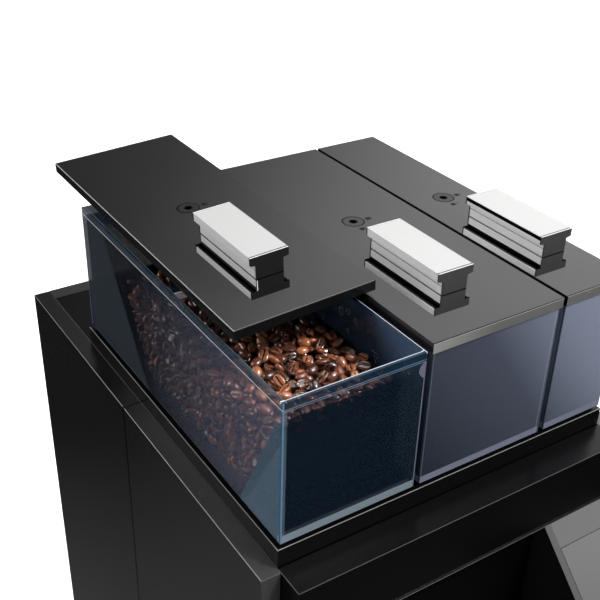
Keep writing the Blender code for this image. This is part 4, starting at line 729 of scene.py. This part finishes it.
# The photo shows no mirror image of the handles in the lids
for handle in GROUPS["aluminium"] + GROUPS["handle_end"]:
    NODES[handle].visible_glossy = False


# Beans

BEAN_HALF = (0.0056, 0.0042, 0.0036)


def bean_material():
    """Roasted brown: each bean has its own tone, a crease painted dark as painted shade between lighter lips,
    an oily gloss, and painted shade from the lid towards the rear.
    """
    made, tree, shader = new_material("roasted_beans")
    tone = tree.nodes.new("ShaderNodeAttribute")
    tone.attribute_name = "tone"
    crease = tree.nodes.new("ShaderNodeAttribute")
    crease.attribute_name = "crease"
    grain = texture(tree, "ShaderNodeTexNoise", 260.0)
    varied = number(tree, "ADD", tone.outputs["Fac"], ramp_from(tree, grain.outputs["Fac"], 0.5, 0.5))
    roast = colour_ramp(tree, varied, (
        (0.0, (0.045, 0.017, 0.012)),
        (0.45, (0.23, 0.072, 0.038)),
        (0.75, (0.56, 0.185, 0.080)),
        (1.0, (0.85, 0.29, 0.11)),
    ))
    lip_start, crease_shade_start, lip_share = 0.15, 0.62, 0.35
    lip = number(tree, "MULTIPLY", between(tree, crease.outputs["Fac"], lip_start, crease_shade_start), lip_share)
    # The crease painted dark, as painted shade
    crease_shade = above(tree, crease.outputs["Fac"], crease_shade_start)
    # Painted shade of the lid: the beans get darker towards the rear, up to a half
    _, y, _ = place_of(tree)
    most_lid_shade, cover_start = 0.5, BIN_FRONT + 0.1235
    lid_shade = number(tree, "MINIMUM", ramp_from(tree, y, cover_start, 14.0), most_lid_shade)
    colour = layered(tree, roast, (
        (lip, (0.55, 0.27, 0.14)),
        (lid_shade, (0.030, 0.013, 0.009)),
        (crease_shade, (0.006, 0.003, 0.002)),
    ))
    tree.links.new(colour, shader.inputs["Base Color"])
    shader.inputs["Specular IOR Level"].default_value = 1.0
    shader.inputs["Coat Weight"].default_value = 1.0
    shader.inputs["Coat Roughness"].default_value = 0.16
    add_noise(tree, shader, 300.0, 0.3, 0.06, bump=0.3, bump_size=0.0003)
    return made


def bean_shape(rings, sides):
    """Points, faces and crease marks of one bean along X: domed above, flatter and creased below."""
    roundness, flatness = 0.75, 0.42
    crease_half, crease_depth, crease_reach, crease_end = 0.28, 0.34, 0.42, 0.93
    points, faces, marks = [], [], []
    for i in range(rings + 1):
        turn = math.pi * i / rings
        x = -math.cos(turn)
        wide = math.sin(turn) ** roundness
        bend = 0.16 * math.sin(2.4 * x)
        for j in range(sides):
            around = 2 * math.pi * (j + 0.5) / sides
            y, z = math.cos(around) * wide, math.sin(around) * wide
            mark = 0.0
            if z < 0:
                z *= flatness
                away = abs(y - bend)
                if away < crease_half:
                    z = min(0.0, z + crease_depth * (1 - abs(x)) ** 0.3)
                mark = max(0.0, 1 - away / crease_reach) if abs(x) < crease_end else 0.0
            points.append((x * BEAN_HALF[0], y * BEAN_HALF[1], z * BEAN_HALF[2]))
            marks.append(mark)
    for i in range(rings):
        for j in range(sides):
            a, b = i * sides + j, i * sides + (j + 1) % sides
            faces.append((a, a + sides, b + sides, b))
    return points, faces, marks


def loose_beans():
    """A bed of single beans in the left container, over a dark core that fills its depth as painted shade
    among the deeper beans.
    """
    low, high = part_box("coffee_beans")
    floor, level = low[2], high[2]
    near_end = 0.001
    rim = [(v.co.y, v.co.z) for v in NODES["coffee_beans"].data.vertices]
    top_y = [y for y, z in rim if z > level - near_end]
    foot_y = [y for y, z in rim if z < floor + near_end]
    front_top, rear_top = min(top_y), max(top_y)
    front_foot, rear_foot = min(foot_y), max(foot_y)
    fine, coarse = bean_shape(12, 18), bean_shape(6, 10)
    verts, polygons, tones, creases = [], [], [], []
    draw = random.Random(7)

    def ends(z):
        share = (z - floor) / (level - floor)
        return front_foot + (front_top - front_foot) * share, rear_foot + (rear_top - rear_foot) * share

    def drop(x, y, z, tilt, shape=coarse):
        points, faces, marks = shape
        turn = Matrix.Rotation(draw.uniform(0, 2 * math.pi), 3, "Z")
        lean = Matrix.Rotation(draw.gauss(0, tilt), 3, "X") @ Matrix.Rotation(draw.gauss(0, tilt), 3, "Y")
        share_face_down = 0.62
        if draw.random() < share_face_down:
            lean = lean @ Matrix.Rotation(math.pi, 3, "X")
        size = draw.uniform(0.88, 1.1)
        place = turn @ lean
        tone = min(1.0, max(0.0, draw.gauss(0.42, 0.22)))
        start = len(verts)
        tones.extend([tone] * len(points))
        creases.extend(marks)
        for point in points:
            moved = place @ Vector(point) * size
            verts.append((x + moved.x, y + moved.y, z + moved.z))
        polygons.extend(tuple(start + i for i in face) for face in faces)

    step, margin, apart, shake = 0.0078, 0.0048, 0.0084, 0.0014
    layers, tries, fine_layers, top_tilt = 4, 5000, 2, 0.38
    top_sink, layer_sink, wall_sink, row_share = 0.0035, 0.0042, 0.0175, 0.84
    lean_right, heap_height, heap_x, heap_y = 0.0055, 0.0012, 70, 45
    # The layers that are seen from above
    for layer in range(layers):
        z = level - top_sink - layer * layer_sink
        first, last = ends(z)
        placed = []
        for _ in range(tries):
            x = draw.uniform(low[0] + margin, high[0] - margin)
            y = draw.uniform(first + margin, last - margin)
            if any(abs(x - u) < apart and abs(y - v) < apart and math.hypot(x - u, y - v) < apart
                   for u, v in placed):
                continue
            placed.append((x, y))
            slope = lean_right * (x - low[0]) / (high[0] - low[0])
            heap = slope + heap_height * math.sin(x * heap_x) * math.cos(y * heap_y)
            shape = fine if layer < fine_layers else coarse
            drop(x, y, z + heap + draw.uniform(-shake, shake), top_tilt, shape)
    # The rows that lie against the two long walls
    wall_gap, wall_shake, row_shake, wall_tilt = 0.0042, 0.0006, 0.001, 1.0
    z = level - wall_sink
    row = 0
    while z > floor + margin:
        first, last = ends(z)
        y = first + margin + (step / 2 if row % 2 else 0)
        while y < last - margin:
            for side in (low[0] + wall_gap, high[0] - wall_gap):
                drop(side + draw.uniform(-wall_shake, wall_shake), y + draw.uniform(-shake, shake),
                     z + draw.uniform(-row_shake, row_shake), wall_tilt)
            y += step
        z -= step * row_share
        row += 1
    # The rows that lie against the front and the rear ramp
    ramp_gap, ramp_tilt = 0.0045, 0.9
    for end, inwards in ((0, ramp_gap), (1, -ramp_gap)):
        z = level - wall_sink
        while z > floor + margin:
            edge = ends(z)[end] + inwards
            x = low[0] + 2 * margin
            while x < high[0] - 2 * margin:
                drop(x + draw.uniform(-shake, shake), edge,
                     z + draw.uniform(-row_shake, row_shake), ramp_tilt)
                x += step
            z -= step * row_share
    # The dark core inside, painted shade that stands for the deeper beans
    core, core_sink = 0.006, 0.012
    core_top, core_foot = level - core_sink, floor + near_end
    core_front, core_rear = ends(core_top)
    base = len(verts)
    outline = [(front_foot + core, core_foot), (rear_foot - core, core_foot),
               (core_rear - core, core_top), (core_front + core, core_top)]
    for x in (low[0] + core, high[0] - core):
        verts.extend((x, y, z) for y, z in outline)
    polygons.extend(tuple(base + i for i in face) for face in
                    ((0, 1, 2, 3), (7, 6, 5, 4), (0, 4, 5, 1), (1, 5, 6, 2), (2, 6, 7, 3), (3, 7, 4, 0)))
    tones.extend([0.0] * (len(verts) - base))
    creases.extend([0.0] * (len(verts) - base))
    mesh = bpy.data.meshes.new("loose_beans")
    mesh.from_pydata(verts, [], polygons)
    for name, values in (("tone", tones), ("crease", creases)):
        mesh.attributes.new(name, "FLOAT", "POINT").data.foreach_set("value", values)
    mesh.validate()
    mesh.shade_smooth()
    made = placed_object("loose_beans", mesh, bean_material())
    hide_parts("coffee_beans")
    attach(made, "machine")


def clear_rib():
    """Clear bar that ties the two long walls of the left container under its lid."""
    foot, top, chamfer = BIN_RIM - 0.0049, BIN_RIM - 0.0004, 0.0006
    outline = [(RIB_FRONT, foot), (RIB_REAR, foot), (RIB_REAR, top - chamfer), (RIB_REAR - chamfer, top),
               (RIB_FRONT + chamfer, top), (RIB_FRONT, top - chamfer)]
    verts = [(x, y, z) for x in (CAVITY_LEFT, CAVITY_RIGHT) for y, z in outline]
    count = len(outline)
    polygons = [tuple(range(count - 1, -1, -1)), tuple(range(count, 2 * count))]
    polygons += [(i, (i + 1) % count, count + (i + 1) % count, count + i) for i in range(count)]
    mesh = bpy.data.meshes.new("container_rib")
    mesh.from_pydata(verts, [], polygons)
    made = placed_object("container_rib", mesh, LOOKS["rib"])
    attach(made, "machine")


# Padlock marks beside the locks

CLOSED_LID_FOOT = LID_TOP - LID_THICKNESS
SHUT_MARK, OPEN_MARK = (0.0175, -0.0015), (0.0005, -0.0165)


def padlock(opened):
    """Flat outline of a small padlock along X: its plate, and a shackle that stands open or shut."""
    long, half, corner = 0.0044, 0.0024, 0.0004
    faces = [[(corner - long, -half), (-corner, -half), (0.0, corner - half), (0.0, half - corner),
              (-corner, half), (corner - long, half), (-long, half - corner), (-long, corner - half)]]
    inner, outer, steps = 0.0011, 0.0017, 8
    lift = 0.0013 if opened else 0.0003
    for i in range(steps):
        a, b = (-math.pi / 2 + math.pi * j / steps for j in (i, i + 1))
        faces.append([(lift + r * math.cos(c), r * math.sin(c)) for r, c in
                      ((inner, a), (outer, a), (outer, b), (inner, b))])
    for side in (1,) if opened else (-1, 1):
        faces.append([(0.0, side * inner), (lift, side * inner), (lift, side * outer), (0.0, side * outer)])
    return faces


def lock_marks(name, body, origin, tilt, centre):
    """An open and a shut padlock on the lid, at the two places that the key points to."""
    verts, polygons = [], []
    turn = Matrix.Translation(origin) @ Matrix.Rotation(-tilt, 4, "Y")
    height = LID_THICKNESS + 0.00008
    for opened, (x, y) in ((False, SHUT_MARK), (True, OPEN_MARK)):
        for face in padlock(opened):
            start = len(verts)
            verts.extend(turn @ Vector((centre[0] + x + u, centre[1] + y + v, height)) for u, v in face)
            polygons.append(tuple(range(start, len(verts))))
    mesh = bpy.data.meshes.new(name)
    mesh.from_pydata(verts, [], polygons)
    made = placed_object(name, mesh, LOOKS["mark_black"])
    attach(made, body)


loose_beans()
clear_rib()
lock_marks("marks_left", "left_lid", LEFT_LID_ORIGIN, LID_TILT, (0.0645, 0.199))
lock_marks("marks_middle", "middle_lid", (LID_LEFT, LID_FRONT, CLOSED_LID_FOOT), 0.0, (0.0675, 0.199))
lock_marks("marks_right", "right_lid", (NARROW_LID_LEFT, LID_FRONT, CLOSED_LID_FOOT), 0.0, (0.0365, 0.199))


# Floor, light and camera

def floor_plane():
    """Pale floor: white to the camera with the object's shadow, dark to mirror rays except close by."""
    size = 12.0
    mesh = bpy.data.meshes.new("floor")
    corners = [(-size, -size, 0), (size, -size, 0), (size, size, 0), (-size, size, 0)]
    mesh.from_pydata(corners, [], [(0, 1, 2, 3)])
    material, tree, shader = new_material("pale_floor")
    shader.inputs["Base Color"].default_value = (0.8, 0.8, 0.8, 1)
    shader.inputs["Roughness"].default_value = 0.9
    shader.inputs["Specular IOR Level"].default_value = 0.1
    path = tree.nodes.new("ShaderNodeLightPath")
    white, dark = tree.nodes.new("ShaderNodeEmission"), tree.nodes.new("ShaderNodeEmission")
    place = tree.nodes.new("ShaderNodeTexCoord")
    away = tree.nodes.new("ShaderNodeVectorMath")
    away.operation = "LENGTH"
    tree.links.new(place.outputs["Object"], away.inputs[0])
    reach, gain, least = 0.9, 0.25, 0.02
    glow = ramp_from(tree, away.outputs["Value"], reach, -gain)
    tree.links.new(number(tree, "MAXIMUM", glow, least), dark.inputs["Strength"])
    white.inputs["Color"].default_value = (0.62, 0.62, 0.62, 1)
    shaded = tree.nodes.new("ShaderNodeAddShader")
    tree.links.new(white.outputs[0], shaded.inputs[0])
    tree.links.new(shader.outputs[0], shaded.inputs[1])
    first, second = tree.nodes.new("ShaderNodeMixShader"), tree.nodes.new("ShaderNodeMixShader")
    tree.links.new(path.outputs["Is Glossy Ray"], first.inputs[0])
    tree.links.new(shader.outputs[0], first.inputs[1])
    tree.links.new(dark.outputs[0], first.inputs[2])
    tree.links.new(path.outputs["Is Camera Ray"], second.inputs[0])
    tree.links.new(first.outputs[0], second.inputs[1])
    tree.links.new(shaded.outputs[0], second.inputs[2])
    tree.links.new(second.outputs[0], tree.nodes["Material Output"].inputs[0])
    made = placed_object("floor", mesh, material)


def studio_world():
    """White to the camera, and to the rest a room that brightens upwards and to the right."""
    world = bpy.data.worlds.new("studio")
    bpy.context.scene.world = world
    world.use_nodes = True
    tree = world.node_tree
    background = tree.nodes["Background"]
    place = tree.nodes.new("ShaderNodeTexCoord")
    split = tree.nodes.new("ShaderNodeSeparateXYZ")
    tree.links.new(place.outputs["Generated"], split.inputs[0])
    to_right, upwards, start, least, most = 8.4, 9.0, 7.1, 0.05, 1.9
    slope = number(tree, "ADD", number(tree, "MULTIPLY", split.outputs["X"], to_right),
                   number(tree, "MULTIPLY", split.outputs["Z"], upwards))
    room = number(tree, "MAXIMUM", number(tree, "SUBTRACT", slope, start), least)
    room = number(tree, "MINIMUM", room, most)
    path = tree.nodes.new("ShaderNodeLightPath")
    level = number(tree, "MAXIMUM", path.outputs["Is Camera Ray"], room)
    background.inputs["Color"].default_value = (1, 1, 1, 1)
    tree.links.new(level, background.inputs["Strength"])


def soft_light(name, place, target, side, power, mirrored=False):
    """Square lamp that points at the target; only a mirrored one is seen in glossy faces."""
    lamp = bpy.data.lights.new(name, "AREA")
    lamp.shape = "RECTANGLE"
    lamp.size, lamp.size_y = side, side
    lamp.energy = power
    made = bpy.data.objects.new(name, lamp)
    made.location = place
    made.rotation_euler = (Vector(target) - Vector(place)).to_track_quat("-Z", "Y").to_euler()
    made.visible_glossy = mirrored
    bpy.context.scene.collection.objects.link(made)


def camera():
    """The photo's camera, from the fit to the corners seen in it."""
    azimuth, elevation, roll = math.radians(-33.481), math.radians(30.453), math.radians(-1.654)
    focal_pixels, picture_pixels, sensor = 981.25, 600, 36
    place = (-0.4588, -0.6375, 1.1102)
    lens = bpy.data.cameras.new("photo_camera")
    lens.sensor_width = sensor
    lens.lens = focal_pixels / picture_pixels * sensor
    back = Vector((math.sin(azimuth) * math.cos(elevation), -math.cos(azimuth) * math.cos(elevation),
                   math.sin(elevation)))
    right = Vector((math.cos(azimuth), math.sin(azimuth), 0))
    up = back.cross(right)
    c, s = math.cos(roll), math.sin(roll)
    columns = (c * right - s * up, s * right + c * up, back)
    turn = Matrix([[columns[j][i] for j in range(3)] for i in range(3)]).to_4x4()
    made = bpy.data.objects.new("photo_camera", lens)
    made.matrix_world = Matrix.Translation(place) @ turn
    bpy.context.scene.collection.objects.link(made)
    bpy.context.scene.camera = made


floor_plane()
studio_world()
soft_light("key_soft", (1.1, 0.9, 2.1), (0, 0, 0.65), 1.2, 12)
soft_light("front_soft", (0.6, -1.1, 2.2), (-0.05, 0, 0.65), 0.3, 24, mirrored=True)
soft_light("left_soft", (-1.5, 1.1, 1.7), (0, 0, 0.7), 1.3, 32, mirrored=True)
camera()
bpy.context.scene.view_settings.view_transform = "Standard"
